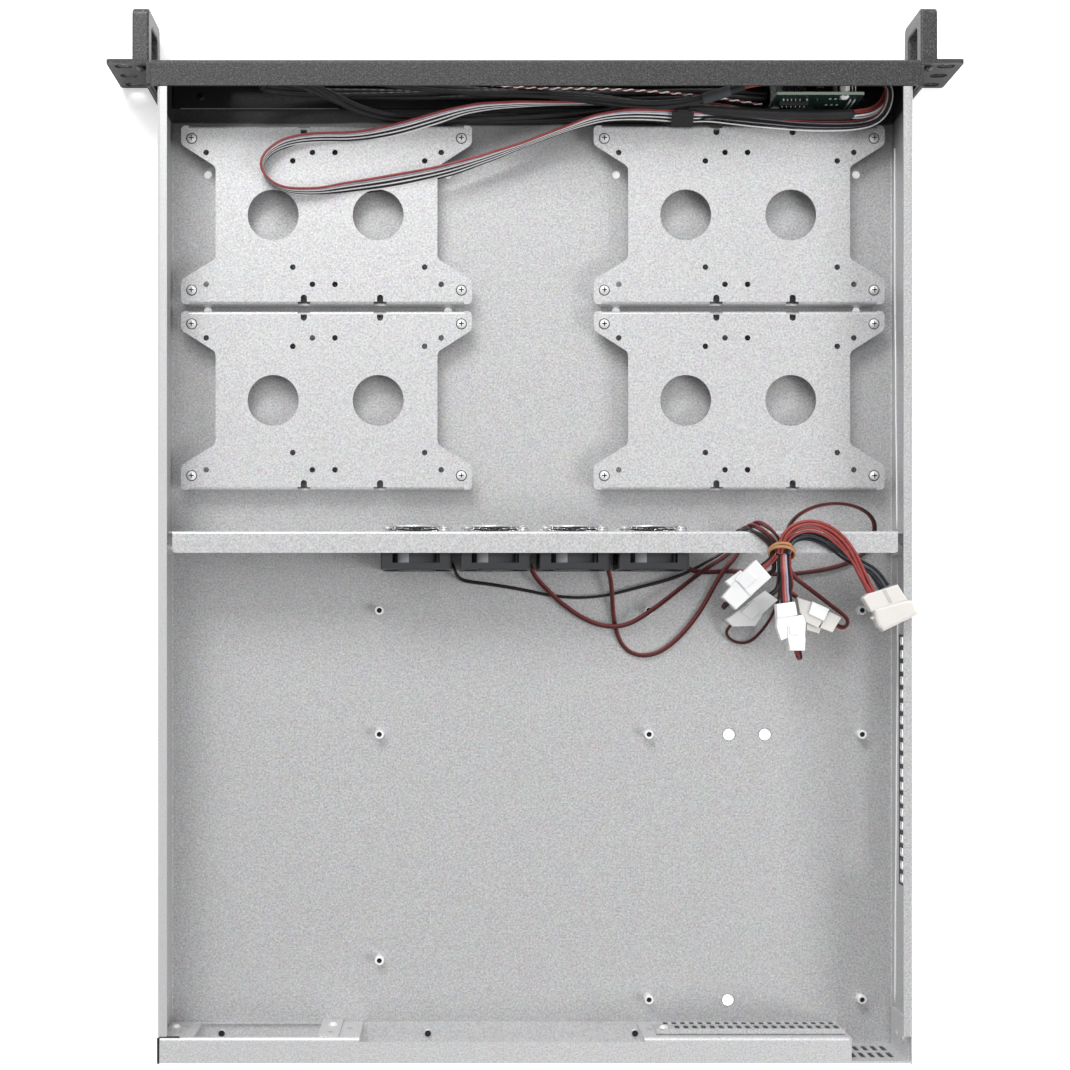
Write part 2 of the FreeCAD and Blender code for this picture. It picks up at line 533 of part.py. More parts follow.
# ================================================================ fans
FV0 = FW_V + T
def fan_housing(x):
    z, v = FAN_Z, FV0
    h = FAN / 2
    b = box(x - h, x + h, v, v + FAN_D, z - h, z + h)
    b = b.makeFillet(2.2, [e for e in b.Edges if abs(e.Length - FAN_D) < 1e-6])
    # side pockets between the two flanges, leaving the round barrel and the corner posts
    barrel = cyl(x, v - 1, z, 19.7, FAN_D + 2, (0, 1, 0))
    for i in range(4):
        p = box(-13.3, 13.3, v + 3.4, v + FAN_D - 3.4, h - 6.5, h + 1)
        p.rotate(V3(0, 0, 0), V3(0, 1, 0), 90 * i)
        p.translate(V3(x, 0, z))
        b = b.cut(p.cut(barrel))
    b = b.cut(cyl(x, v - 1, z, 19.0, FAN_D + 2, (0, 1, 0)))
    # flared inlet lip
    b = b.cut(Part.makeCone(19.55, 19.0, 1.4, V3(x, v, z), V3(0, 1, 0)))
    # motor plate, bearing tube and three struts at the outlet
    plate = cyl(x, v + FAN_D - 3.2, z, 11.0, 3.2, (0, 1, 0))
    tube = cyl(x, v + 5.6, z, 3.4, FAN_D - 7.0, (0, 1, 0))
    parts = [b, plate, tube]
    for a in (90, 210, 330):
        st = box(9.0, 19.4, v + FAN_D - 2.6, v + FAN_D, -1.3, 1.3)
        st.rotate(V3(0, 0, 0), V3(0, 1, 0), a)
        st.translate(V3(x, 0, z))
        parts.append(st)
    s = fuse(parts)
    s = s.cut(cyl(x, v + 3, z, 1.55, 14.2, (0, 1, 0)))
    # the leads leave the frame through a notch in the outlet flange
    s = s.cut(box(x - 21, x - 17.6, v + FAN_D - 3.6, v + FAN_D + 1, z - 13.4, z - 9.2))
    for dx in (-16, 16):
        for dz in (-16, 16):
            s = s.cut(cyl(x + dx, v - 1, z + dz, 1.75, FAN_D + 2, (0, 1, 0)))
    return one(s)


def fan_rotor(x):
    z, v = FAN_Z, FV0
    hub = cyl(x, v + 1.2, z, 10.4, 14.6, (0, 1, 0))
    hub = hub.makeFillet(1.2, [e for e in hub.Edges if abs(e.BoundBox.YMax - v - 1.2) < 1e-3 and e.Length > 30])
    hub = hub.cut(cyl(x, v + 2.6, z, 9.2, 20, (0, 1, 0)))
    shaft = cyl(x, v + 2.0, z, 1.5, 14.4, (0, 1, 0))
    parts = [hub, shaft]
    shell = cyl(x, v + 1.5, z, 18.3, 14.0, (0, 1, 0)).cut(cyl(x, v + 1.0, z, 9.9, 16.0, (0, 1, 0)))
    for k in range(7):
        # a blade: an inclined plate swept from the hub to the tip, held inside the annulus
        bl = Part.makeBox(9.4, 17.5, 1.2, V3(9.7, -8.75, -0.6))
        bl.rotate(V3(0, 0, 0), V3(1, 0, 0), 48)
        bl.translate(V3(0, v + 8.5, 0))
        bl.rotate(V3(0, v + 8.5, 0), V3(0, 1, 0), k * 360.0 / 7)
        bl.translate(V3(x, 0, z))
        parts.append(bl.common(shell))
    s = fuse(parts)
    return one(s)


def wire_between(a, b, r):
    d = b - a
    return Part.makeCylinder(r, d.Length, a, d)


def fan_guard(x):
    z = FAN_Z
    r = 0.75
    vb = FW_V - r            # plane of the eyelets, on the wall
    vr = FW_V - 3.0          # plane of the rings
    parts = []
    for R in (6.0, 11.5, 17.0):
        t = Part.makeTorus(R, r, V3(x, vr, z), V3(0, 1, 0))
        parts.append(t)
    for i, (sx, sz) in enumerate(((1, 1), (1, -1), (-1, -1), (-1, 1))):
        ax = V3(x + sx * 16.0, vb, z + sz * 16.0)
        parts.append(Part.makeTorus(2.55, r, ax, V3(0, 1, 0)))
        u = V3(sx, 0, sz)
        u.normalize()
        c = V3(x, 0, z)
        p0 = c + u * 4.6 + V3(0, vr + 1.05, 0)
        p1 = c + u * 17.0 + V3(0, vr + 1.05, 0)
        p2 = c + u * (16.0 * math.sqrt(2) - 2.55) + V3(0, vb, 0)
        parts.append(wire_between(p0, p1, r))
        parts.append(Part.makeSphere(r, p1))
        parts.append(wire_between(p1, p2, r))
        parts.append(Part.makeSphere(r, p0))
    return one(fuse(parts))


def placed(shape, dx):
    c = shape.copy()
    c.translate(V3(dx, 0, 0))
    return c


sc = []
X0 = FAN_X[2]
housing, rotor, guard = fan_housing(X0), fan_rotor(X0), fan_guard(X0)
for i, x in enumerate(FAN_X):
    save("fan_housing_%d" % (i + 1), placed(housing, x - X0))
    save("fan_rotor_%d" % (i + 1), placed(rotor, x - X0))
    save("fan_guard_%d" % (i + 1), placed(guard, x - X0))
    for dx in (-16, 16):
        for dz in (-16, 16):
            sc.append(pan_screw((x + dx, FW_V - 1.5, FAN_Z + dz), (0, -1, 0), 3.0, 2.2, 1.5, 11.0))
save("fan_screws", Part.Compound(sc))

# ================================================================ rivets and chassis screws
rv = [rivet((x, v, 2 * T), (0, 0, 1), shank=2.4) for x, v in RIV_REAR]
rv += [rivet((x, v, T + TP), (0, 0, 1), shank=2.7) for x, v in RIV_FRONT]
rv += [rivet((-HW + 2 * T, v, z), (1, 0, 0), shank=2.4) for v, z in RIV_SIDE]
save("chassis_rivets", Part.Compound(rv))

cs = []
for s in (-1, 1):
    for z in FWS_Z:
        cs.append(pan_screw((s * HW, FWS_V, z), (s, 0, 0), 2.7, 1.6, 1.5, 4.2))
for x, z, v in CS_REAR:
    cs.append(pan_screw((x, v, z), (0, -1, 0), 2.7, 1.8, 1.5, 3.6))
CB_SCREW = [(-176.3, 32.6), (-140.5, 11.4)]
for x, z in CB_SCREW:
    cs.append(pan_screw((x, CB_V1, z), (0, 1, 0), 2.7, 1.8, 1.5, 5.0))
save("chassis_screws", Part.Compound(cs))

# ================================================================ control board and its parts
cb = box(CB_X0, CB_X1, CB_V0, CB_V1, CB_Z0, CB_Z1)
cb = cb.makeFillet(1.0, [e for e in cb.Edges if abs(e.Length - (CB_V1 - CB_V0)) < 1e-6])
for x, z in CB_SCREW:
    cb = cb.cut(cyl(x, CB_V0 - 1, z, 1.55, 4, (0, 1, 0)))
save("control_board", cb)
so = []
for x, z in CB_SCREW:
    hx = Part.Face(Part.makePolygon([V3(x + 2.9 * math.cos(math.radians(60 * k + 30)), TP, z + 2.9 * math.sin(math.radians(60 * k + 30)))
                                     for k in range(7)])).extrude(V3(0, CB_V0 - TP, 0))
    so.append(hx.cut(cyl(x, CB_V0 - 7, z, 1.55, 8, (0, 1, 0))))
save("board_standoffs", Part.Compound(so))

ub = box(USB_X - USB_W / 2, USB_X + USB_W / 2, -0.2, CB_V0, USB_Z - USB_H / 2, USB_Z + USB_H / 2)
ub = ub.makeFillet(0.8, [e for e in ub.Edges if abs(e.Length - (CB_V0 + 0.2)) < 1e-6])
USB_PORT_Z = (USB_Z - 3.95, USB_Z + 3.95)
for zc2 in USB_PORT_Z:
    ub = ub.cut(box(USB_X - 6.1, USB_X + 6.1, -1, 11.5, zc2 - 2.6, zc2 + 2.6))
    ub = ub.fuse(box(USB_X - 5.6, USB_X + 5.6, 1.2, 11.6, zc2 + 0.2, zc2 + 2.0))
save("usb_port", one(ub.removeSplitter()))

sw = []
for x, z, tip in ((PB_X, PB_Z, 10.6), (RB_X, RB_Z, 10.6)):
    s = box(x - 3.0, x + 3.0, CB_V0 - 3.6, CB_V0, z - 3.0, z + 3.0)
    s = s.makeFillet(0.4, [e for e in s.Edges if abs(e.Length - 3.6) < 1e-6])
    s = s.fuse(cyl(x, tip, z, 1.75, CB_V0 - 3.6 - tip + 0.2, (0, 1, 0))).removeSplitter()
    sw.append(s)
save("panel_switches", Part.Compound(sw))


def button(x, z, r, out, flange, tip):
    b = cyl(x, -out, z, r, out + 1.9, (0, 1, 0))
    b = b.makeFillet(min(0.6, r * 0.3), [e for e in b.Edges if abs(e.BoundBox.YMax + out) < 1e-3 and e.Length > 4])
    b = b.fuse([cyl(x, 1.85, z, r + flange, 1.2, (0, 1, 0)), cyl(x, 1.85, z, min(2.2, r), tip - 1.85, (0, 1, 0))])
    return one(b.removeSplitter())


save("power_button", button(PB_X, PB_Z, PB_R, 1.4, 1.2, 9.6))
save("reset_button", button(RB_X, RB_Z, RB_R, 0.6, 1.2, 9.8))

led = []
for z in LED_ZS:
    d = cyl(LED_X, 0.2, z, 1.45, 4.6, (0, 1, 0)).fuse(Part.makeSphere(1.45, V3(LED_X, 0.2, z)))
    d = d.fuse([cyl(LED_X, 4.4, z, 1.9, 1.0, (0, 1, 0)), cyl(LED_X - 0.9, 5.2, z, 0.28, CB_V0 - 5.2, (0, 1, 0)),
                cyl(LED_X + 0.9, 5.2, z, 0.28, CB_V0 - 5.2, (0, 1, 0))])
    led.append(one(d.removeSplitter()))
save("led_indicators", Part.Compound(led))

# ================================================================ harness: band, connectors, plug
BAND_X, BAND_V, BAND_Z, BAND_TILT = -137.9, 277.3, 47.3, 40.0
BAND_IN_W, BAND_IN_H, BAND_T, BAND_A = 12.2, 10.6, 1.5, 2.6


def rounded_plate(w, h, a, r):
    b = Part.makeBox(w, a, h, V3(-w / 2, -a / 2, -h / 2))
    return b.makeFillet(r, [e for e in b.Edges if abs(e.Length - a) < 1e-6])


band = rounded_plate(BAND_IN_W + 2 * BAND_T, BAND_IN_H + 2 * BAND_T, BAND_A, 5.6)
band = band.cut(rounded_plate(BAND_IN_W, BAND_IN_H, BAND_A + 1, 4.0))
band.rotate(V3(0, 0, 0), V3(1, 0, 0), BAND_TILT)
band.translate(V3(BAND_X, BAND_V, BAND_Z))
save("rubber_band", one(band))

# mated wire connectors: middle of the harness end, middle of the lead end
CONN = [((-127.2, 286.5, 42.0), (-110.9, 305.4, 28.4)),
        ((-134.9, 300.7, 27.0), (-117.1, 316.3, 11.1)),
        ((-143.3, 305.4, 34.0), (-150.9, 332.6, 29.9)),
        ((-151.4, 301.8, 22.0), (-174.8, 317.6, 17.7))]
CONN_W, CONN_T, CONN_W2, CONN_T2, CONN_L1 = 12.8, 8.6, 8.8, 7.4, 16.0


def frame_to(shape, origin, along):
    # local +Y along the given direction, local Z kept upright
    y = V3(*along)
    y.normalize()
    x = y.cross(V3(0, 0, 1))
    x.normalize()
    z = x.cross(y)
    m = FreeCAD.Matrix(x.x, y.x, z.x, origin[0], x.y, y.y, z.y, origin[1], x.z, y.z, z.z, origin[2], 0, 0, 0, 1)
    s = shape.copy()
    s.Placement = FreeCAD.Placement(m)
    return s


def connector(p, q, narrow=False):
    P, Q = V3(*p), V3(*q)
    L = (Q - P).Length
    w1 = 10.0 if narrow else CONN_W
    w2 = CONN_W2
    a = Part.makeBox(w1, CONN_L1, CONN_T, V3(-w1 / 2, 0, -CONN_T / 2))
    a = a.makeFillet(0.6, [e for e in a.Edges if abs(e.Length - CONN_L1) < 1e-6])
    rib = Part.makeBox(w1 + 2.0, 5.0, CONN_T - 3.0, V3(-w1 / 2 - 1.0, CONN_L1 - 5.0, -CONN_T / 2 + 1.5))
    latch = Part.makeBox(4.4, 9.0, 1.6, V3(-2.2, CONN_L1 - 6.0, CONN_T / 2 - 0.2))
    a = a.fuse([rib, latch])
    # wire cavities of the harness end
    for dx in (-2.2, 2.2):
        a = a.cut(Part.makeBox(2.2, 3.0, 3.4, V3(dx - 1.1, -1, -1.7)))
    b = Part.makeBox(w2, L - CONN_L1, CONN_T2, V3(-w2 / 2, CONN_L1, -CONN_T2 / 2))
    b = b.makeFillet(0.5, [e for e in b.Edges if abs(e.Length - (L - CONN_L1)) < 1e-6])
    b = b.cut(Part.makeBox(4.4 + 0.4, 3.4, 3.0, V3(-2.4, CONN_L1 - 0.4, CONN_T / 2 - 0.9)))
    for dx in (-2.2, 2.2):
        b = b.cut(Part.makeBox(2.2, 3.0, 3.4, V3(dx - 1.1, L - 2.0, -1.7)))
    a, b = one(a.removeSplitter()), one(b.removeSplitter())
    return Part.Compound([frame_to(a, p, Q - P), frame_to(b, p, Q - P)])


for i, (p, q) in enumerate(CONN):
    save("fan_connector_%d" % (i + 1), connector(p, q, narrow=(i in (1, 3))))

# four-way power plug, lying on the right wall's top flange
PLUG_C, PLUG_DIR = (-192.5, 298.7, 48.6), (-0.48, 0.877, 0.0)
PLUG_W, PLUG_L, PLUG_T = 21.4, 21.4, 8.8
pl = Part.makeBox(PLUG_W, PLUG_L, PLUG_T, V3(-PLUG_W / 2, 0, -PLUG_T / 2))
ch = [e for e in pl.Edges if abs(e.Length - PLUG_L) < 1e-6 and e.BoundBox.ZMin > 0]
pl = pl.makeChamfer(1.8, ch)
pl = pl.makeFillet(0.7, [e for e in pl.Edges if abs(e.Length - PLUG_W) < 1e-6 and e.BoundBox.YMax < 1e-3])
pl = pl.cut(Part.makeBox(PLUG_W + 2, 9.6, 3, V3(-PLUG_W / 2 - 1, -1, PLUG_T / 2 - 0.7)))
pl = pl.fuse(Part.makeBox(PLUG_W + 1.6, 3.2, PLUG_T - 3.4, V3(-PLUG_W / 2 - 0.8, 8.6, -PLUG_T / 2 + 1.2)))
for k in range(4):
    dx = -7.65 + 5.1 * k
    pl = pl.cut(Part.makeCylinder(1.9, 6, V3(dx, PLUG_L - 5.0, 0), V3(0, 1, 0)))
    pl = pl.cut(Part.makeCylinder(2.05, 3.2, V3(dx, -1.0, 0), V3(0, 1, 0)))
save("power_plug", frame_to(one(pl.removeSplitter()), PLUG_C, PLUG_DIR))


# ================================================================ cords
def cord(name, pts, d, limit):
    # tube of straight runs joined by tangent arcs along the route's points
    P = [V3(*q) for q in pts]
    n = len(P)
    E, cur, rmin, length = [], P[0], 1e9, 0.0
    runs = [(P[i + 1] - P[i]).Length for i in range(n - 1)]
    for i in range(1, n - 1):
        d1 = (P[i] - P[i - 1]).normalize()
        d2 = (P[i + 1] - P[i]).normalize()
        th = math.acos(max(-1, min(1, d1.dot(d2))))
        t = 0.45 * min(runs[i - 1], runs[i])
        R = t / math.tan(th / 2)
        rmin = min(rmin, R)
        a, b = P[i] - d1 * t, P[i] + d2 * t
        w = (d2 - d1).normalize()
        O = P[i] + w * (R / math.cos(th / 2))
        m = O - w * R
        E.append(Part.LineSegment(cur, a).toShape())
        E.append(Part.Arc(a, m, b).toShape())
        length += (a - cur).Length + R * th
        cur = b
    E.append(Part.LineSegment(cur, P[-1]).toShape())
    length += (P[-1] - cur).Length
    path = Part.Wire(E)
    prof = Part.Wire([Part.Circle(P[0], (P[1] - P[0]).normalize(), d / 2.0).toShape()])
    tube = path.makePipeShell([prof], True, True)
    sol = tube.Solids[0] if tube.Solids else Part.Solid(tube)
    ratio = sol.Volume / (math.pi * d * d / 4 * length)
    bad = [round(max(runs[i], runs[i + 1]) / min(runs[i], runs[i + 1]), 2) for i in range(n - 2)
           if max(runs[i], runs[i + 1]) > 2.15 * min(runs[i], runs[i + 1])]
    print("cord %-14s d %.1f length %.1f runs %.1f-%.1f least radius %.2f (%.1f d) volume ratio %.3f %s %s" % (
        name, d, length, min(runs), max(runs), rmin, rmin / d, ratio, "UNEVEN %s" % bad if bad else "",
        "" if rmin / d >= limit else "TIGHT"))
    save(name, sol)


LEAD_D, LEG_D, BUNDLE_D = 2.4, 2.4, 4.0
LEAD_1 = [(49.3, 278.2, 10.6), (45.9, 284.2, 10.1), (44.3, 288.6, 7.0), (41.4, 291.4, 3.6), (36.0, 292.6, 2.5),
          (28.4, 293.4, 2.5), (16.9, 295.1, 2.5), (2.7, 297.6, 2.5), (-10.1, 300.5, 2.5), (-27.5, 302.1, 2.5),
          (-44.5, 300.5, 2.5), (-63.7, 295.4, 2.5), (-78.5, 291.8, 3.0), (-90.5, 287.2, 4.4), (-102.5, 280.8, 5.2),
          (-112.0, 275.0, 5.0), (-117.4, 269.6, 4.2), (-118.4, 264.8, 8.0), (-118.4, 263.5, 15.0), (-118.8, 263.8, 24.0),
          (-118.3, 263.2, 33.5), (-119.2, 263.0, 41.0), (-122.6, 265.4, 45.2), (-128.2, 269.4, 45.4), (-132.8, 273.6, 44.9),
          (-133.9, 282.4, 44.7), (-134.9, 287.6, 41.2), (-131.9, 289.4, 35.4), (-124.9, 289.6, 32.2), (-117.0, 298.0, 26.0),
          (-109.9, 306.5, 19.8), (-107.8, 309.0, 25.8), (-110.9, 305.4, 28.4)]
LEAD_2 = [(4.6, 278.2, 10.6), (1.1, 284.4, 10.2), (-0.9, 288.6, 8.4), (-4.6, 293.2, 6.6), (-10.4, 299.0, 5.8),
          (-17.3, 305.4, 5.4), (-27.9, 313.0, 5.4), (-38.4, 317.8, 5.8), (-48.4, 319.0, 6.2), (-57.0, 317.0, 7.2),
          (-64.4, 312.6, 8.9), (-71.6, 307.7, 9.0), (-81.5, 300.2, 7.2), (-92.3, 291.4, 8.6), (-103.0, 283.6, 8.8),
          (-113.4, 277.2, 6.0), (-119.6, 270.6, 4.2), (-120.9, 264.2, 8.0), (-120.9, 262.8, 15.0), (-121.3, 263.1, 24.4),
          (-120.8, 262.5, 34.2), (-121.9, 261.6, 42.2), (-125.2, 263.6, 46.6), (-130.8, 267.8, 46.8), (-135.4, 272.6, 45.0),
          (-136.5, 282.4, 44.7), (-137.4, 288.0, 40.6), (-139.2, 293.6, 33.6), (-140.8, 299.8, 25.4), (-140.8, 306.2, 17.0),
          (-138.6, 314.0, 9.6), (-134.0, 321.6, 4.6), (-127.6, 328.0, 2.8), (-119.6, 328.4, 2.7), (-113.0, 323.6, 4.6),
          (-113.9, 319.1, 8.2), (-117.1, 316.3, 11.1)]
LEAD_3 = [(-40.1, 278.2, 10.6), (-43.6, 284.6, 10.2), (-45.6, 291.0, 8.2), (-46.5, 299.6, 6.2), (-47.2, 308.4, 4.0),
          (-48.4, 318.0, 2.5), (-51.4, 327.6, 2.5), (-57.1, 333.9, 2.5), (-65.0, 336.0, 2.5), (-73.8, 334.2, 2.5),
          (-82.5, 328.4, 2.5), (-91.7, 319.0, 2.5), (-100.4, 306.8, 2.6), (-106.6, 294.8, 3.7), (-112.6, 284.8, 5.2),
          (-118.8, 278.2, 5.2), (-122.4, 270.6, 4.2), (-123.4, 263.6, 8.0), (-123.4, 262.2, 15.0), (-123.8, 262.4, 24.8),
          (-123.2, 261.6, 35.0), (-124.6, 260.2, 43.4), (-128.0, 261.8, 48.0), (-133.4, 266.0, 48.2), (-138.0, 271.8, 45.6),
          (-139.1, 282.4, 44.7), (-140.0, 288.2, 40.8), (-141.6, 294.2, 34.6), (-143.2, 301.2, 28.4), (-145.6, 312.0, 25.4),
          (-148.8, 325.0, 23.6), (-152.0, 336.8, 22.4), (-152.3, 337.7, 29.1), (-150.9, 332.6, 29.9)]
LEAD_4 = [(-84.8, 278.2, 10.6), (-88.8, 284.0, 10.0), (-94.6, 286.6, 7.6), (-101.6, 287.0, 4.2), (-111.6, 286.2, 2.5),
          (-125.0, 286.6, 2.5), (-139.4, 287.8, 2.5), (-152.3, 287.9, 2.5), (-165.2, 286.4, 2.5), (-178.1, 283.8, 2.5),
          (-188.6, 279.9, 2.5), (-196.2, 273.9, 2.8), (-199.4, 266.6, 4.4), (-199.6, 259.2, 9.5), (-193.8, 253.0, 17.0),
          (-182.9, 249.2, 25.0), (-170.4, 248.6, 32.5), (-158.6, 250.8, 38.8), (-148.5, 255.5, 43.4), (-142.6, 261.4, 45.6),
          (-141.0, 267.4, 45.2), (-141.8, 273.4, 44.75), (-141.7, 282.4, 44.7), (-143.8, 287.6, 40.8), (-147.6, 291.2, 34.8),
          (-153.4, 294.4, 28.4), (-162.4, 300.0, 21.8), (-172.6, 307.2, 18.2), (-183.2, 314.9, 16.8), (-179.2, 320.8, 16.6),
          (-174.8, 317.6, 17.7)]
for i, pts in enumerate((LEAD_1, LEAD_2, LEAD_3, LEAD_4)):
    cord("fan_lead_%d" % (i + 1), pts, LEAD_D, 1.0)

LEG_1 = [(-134.3, 278.5, 47.45), (-132.8, 281.9, 46.2), (-127.2, 286.5, 42.0)]
LEG_2 = [(-136.6, 278.5, 47.45), (-136.9, 284.8, 46.7), (-137.6, 291.0, 42.6), (-138.0, 296.2, 36.2), (-137.2, 299.2, 30.6),
         (-134.9, 300.7, 27.0)]
LEG_3 = [(-139.2, 278.5, 47.45), (-139.7, 285.0, 46.8), (-140.8, 292.2, 43.2), (-141.9, 299.0, 37.6), (-143.3, 305.4, 34.0)]
LEG_4 = [(-141.8, 278.5, 47.45), (-142.0, 285.0, 46.8), (-143.6, 290.8, 42.0), (-146.0, 294.8, 35.0), (-146.4, 298.0, 28.2),
         (-147.2, 299.2, 22.9), (-151.4, 301.8, 22.0)]
for i, pts in enumerate((LEG_1, LEG_2, LEG_3, LEG_4)):
    cord("harness_leg_%d" % (i + 1), pts, LEG_D, 1.0)

POWER_RED = [(-136.4, 278.3, 48.1), (-137.2, 271.6, 48.8), (-143.2, 264.6, 50.8), (-154.6, 261.9, 51.2), (-166.6, 266.6, 51.0),
             (-176.6, 278.0, 51.0), (-182.9, 290.6, 49.8), (-187.9, 301.0, 48.6)]
POWER_BLACK = [(-140.5, 278.3, 48.1), (-142.2, 271.9, 48.1), (-148.0, 268.3, 47.3), (-155.6, 268.4, 46.2), (-165.2, 272.6, 45.8),
               (-174.2, 279.8, 45.4), (-183.0, 284.6, 45.6), (-190.6, 289.4, 47.6), (-194.9, 297.2, 48.6)]
cord("power_cable_red", POWER_RED, BUNDLE_D, 2.0)
cord("power_cable_black", POWER_BLACK, BUNDLE_D, 2.0)

# front channel
RIBBON_D = 3.4           # round tube of the flat cable's section area; the flat cable is 10 x 0.9
RIBBON = [(-188.4, 12.0, 27.0), (-196.8, 10.4, 27.6), (-202.6, 15.6, 26.6), (-202.2, 24.0, 24.0), (-196.2, 29.0, 21.4),
          (-186.0, 30.6, 19.4), (-170.0, 30.8, 18.6), (-154.0, 30.2, 18.2), (-138.0, 28.6, 18.0), (-118.0, 26.4, 17.4),
          (-98.0, 24.6, 17.0), (-86.8, 24.8, 16.6), (-72.0, 23.2, 15.6), (-54.0, 22.6, 15.0), (-37.0, 24.4, 14.8),
          (-17.0, 31.4, 15.4), (4.0, 39.2, 15.0), (25.2, 46.9, 14.4), (50.0, 54.8, 14.0), (79.4, 61.0, 13.9),
          (105.0, 64.6, 13.9), (126.0, 67.4, 14.4), (143.6, 66.8, 16.0), (154.0, 60.8, 17.4), (157.8, 52.0, 17.6),
          (152.6, 43.8, 17.0), (141.6, 38.0, 15.8), (125.0, 35.6, 14.6), (103.0, 35.8, 14.0), (79.0, 31.6, 14.2),
          (57.0, 25.2, 14.8), (36.0, 18.6, 14.8), (10.0, 15.6, 12.4), (-18.0, 14.2, 9.8), (-48.0, 13.6, 7.2),
          (-78.0, 12.8, 6.4), (-104.0, 13.8, 6.6), (-122.0, 17.4, 8.4), (-136.0, 21.9, 11.8), (-148.0, 23.4, 15.6)]
cord("ribbon_cable", RIBBON, RIBBON_D, 1.0)
BLACK_D = 5.6
BLACK_1 = [(-135.8, 11.6, 12.0), (-122.0, 9.4, 9.0), (-100.0, 7.8, 6.8), (-68.0, 8.2, 7.0), (-34.0, 7.7, 6.5), (0.0, 8.3, 6.3),
           (34.0, 7.7, 6.5), (68.0, 8.2, 7.2), (98.0, 7.8, 7.0), (124.0, 8.2, 8.8), (144.0, 7.7, 12.6), (156.5, 8.2, 20.5),
           (155.6, 8.0, 30.0), (143.5, 8.6, 35.4), (129.0, 10.6, 32.6), (115.4, 15.6, 24.6), (101.0, 19.8, 15.6),
           (83.0, 22.6, 8.4), (60.0, 22.9, 4.9), (30.0, 21.6, 4.6), (-4.0, 21.2, 4.7), (-34.0, 19.8, 6.6), (-58.0, 18.0, 9.8),
           (-80.0, 18.0, 14.2), (-100.0, 20.4, 18.2), (-120.0, 22.8, 21.0), (-141.0, 24.4, 22.2), (-164.0, 24.9, 22.2),
           (-184.0, 24.4, 22.4), (-195.0, 22.4, 22.2), (-202.0, 15.6, 21.6), (-203.6, 7.0, 20.4)]
cord("black_cable_1", BLACK_1, BLACK_D, 1.0)
BLACK_2 = [(-135.6, 9.0, 31.4), (-123.0, 9.8, 29.9), (-107.0, 14.0, 26.8), (-90.0, 18.3, 23.0), (-71.0, 18.6, 19.4),
           (-54.0, 16.8, 17.6), (-36.0, 14.0, 17.0), (-16.0, 12.2, 17.2), (8.0, 10.6, 18.2), (30.0, 10.2, 17.8), (50.0, 9.0, 19.0),
           (68.0, 7.9, 22.0), (84.0, 7.2, 26.6), (98.0, 7.4, 31.6), (110.0, 8.2, 34.6), (120.4, 8.8, 35.2)]
cord("black_cable_2", BLACK_2, BLACK_D, 1.0)
PAIR_D = 2.4
PAIR = [(-135.8, 12.8, 20.4), (-122.0, 12.0, 18.2), (-106.0, 11.8, 17.4), (-90.0, 11.6, 19.0), (-70.0, 11.2, 21.9),
        (-47.5, 10.3, 22.8), (-24.0, 9.7, 22.6), (-3.6, 9.9, 23.2), (20.0, 9.0, 25.2), (42.0, 7.8, 28.8), (60.0, 6.9, 33.2),
        (76.0, 6.4, 36.8), (92.0, 6.6, 38.6), (104.0, 7.0, 38.9)]
cord("twisted_pair", PAIR, PAIR_D, 1.0)
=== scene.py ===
import bpy, bmesh, math, random
from mathutils import Vector, Matrix, Quaternion


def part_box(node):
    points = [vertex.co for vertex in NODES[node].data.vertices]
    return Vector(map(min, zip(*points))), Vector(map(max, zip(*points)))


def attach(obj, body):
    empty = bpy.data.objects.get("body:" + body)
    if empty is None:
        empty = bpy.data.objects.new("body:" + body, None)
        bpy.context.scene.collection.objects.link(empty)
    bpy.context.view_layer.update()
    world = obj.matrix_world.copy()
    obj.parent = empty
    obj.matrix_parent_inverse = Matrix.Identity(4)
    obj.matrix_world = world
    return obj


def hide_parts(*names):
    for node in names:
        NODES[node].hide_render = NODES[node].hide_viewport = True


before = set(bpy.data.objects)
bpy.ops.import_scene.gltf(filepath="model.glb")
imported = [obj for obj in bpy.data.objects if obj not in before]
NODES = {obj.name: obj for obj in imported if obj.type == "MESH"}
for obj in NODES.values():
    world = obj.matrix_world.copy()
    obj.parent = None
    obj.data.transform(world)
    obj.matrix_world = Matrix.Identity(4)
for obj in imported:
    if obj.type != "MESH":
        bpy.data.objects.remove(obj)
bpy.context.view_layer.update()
scene = bpy.context.scene
scene.view_settings.view_transform = "Standard"
scene.view_settings.look = "None"
scene.view_settings.exposure = 0.0
scene.view_settings.gamma = 1.0


def link(o):
    scene.collection.objects.link(o)
    return o


# ------------------------------------------------------------------ camera
cam_data = bpy.data.cameras.new("camera")
cam_data.sensor_width = 36.0
cam_data.lens = 1701.547 / 1070.0 * 36.0
cam_data.shift_x = 0.06881
cam_data.shift_y = 0.09811
cam_data.clip_start = 0.05
cam_data.clip_end = 20.0
camera = link(bpy.data.objects.new("camera", cam_data))
camera.location = (0.04149, 0.05953, 1.0)
camera.rotation_euler = (0.0, 0.0, math.pi)
scene.camera = camera


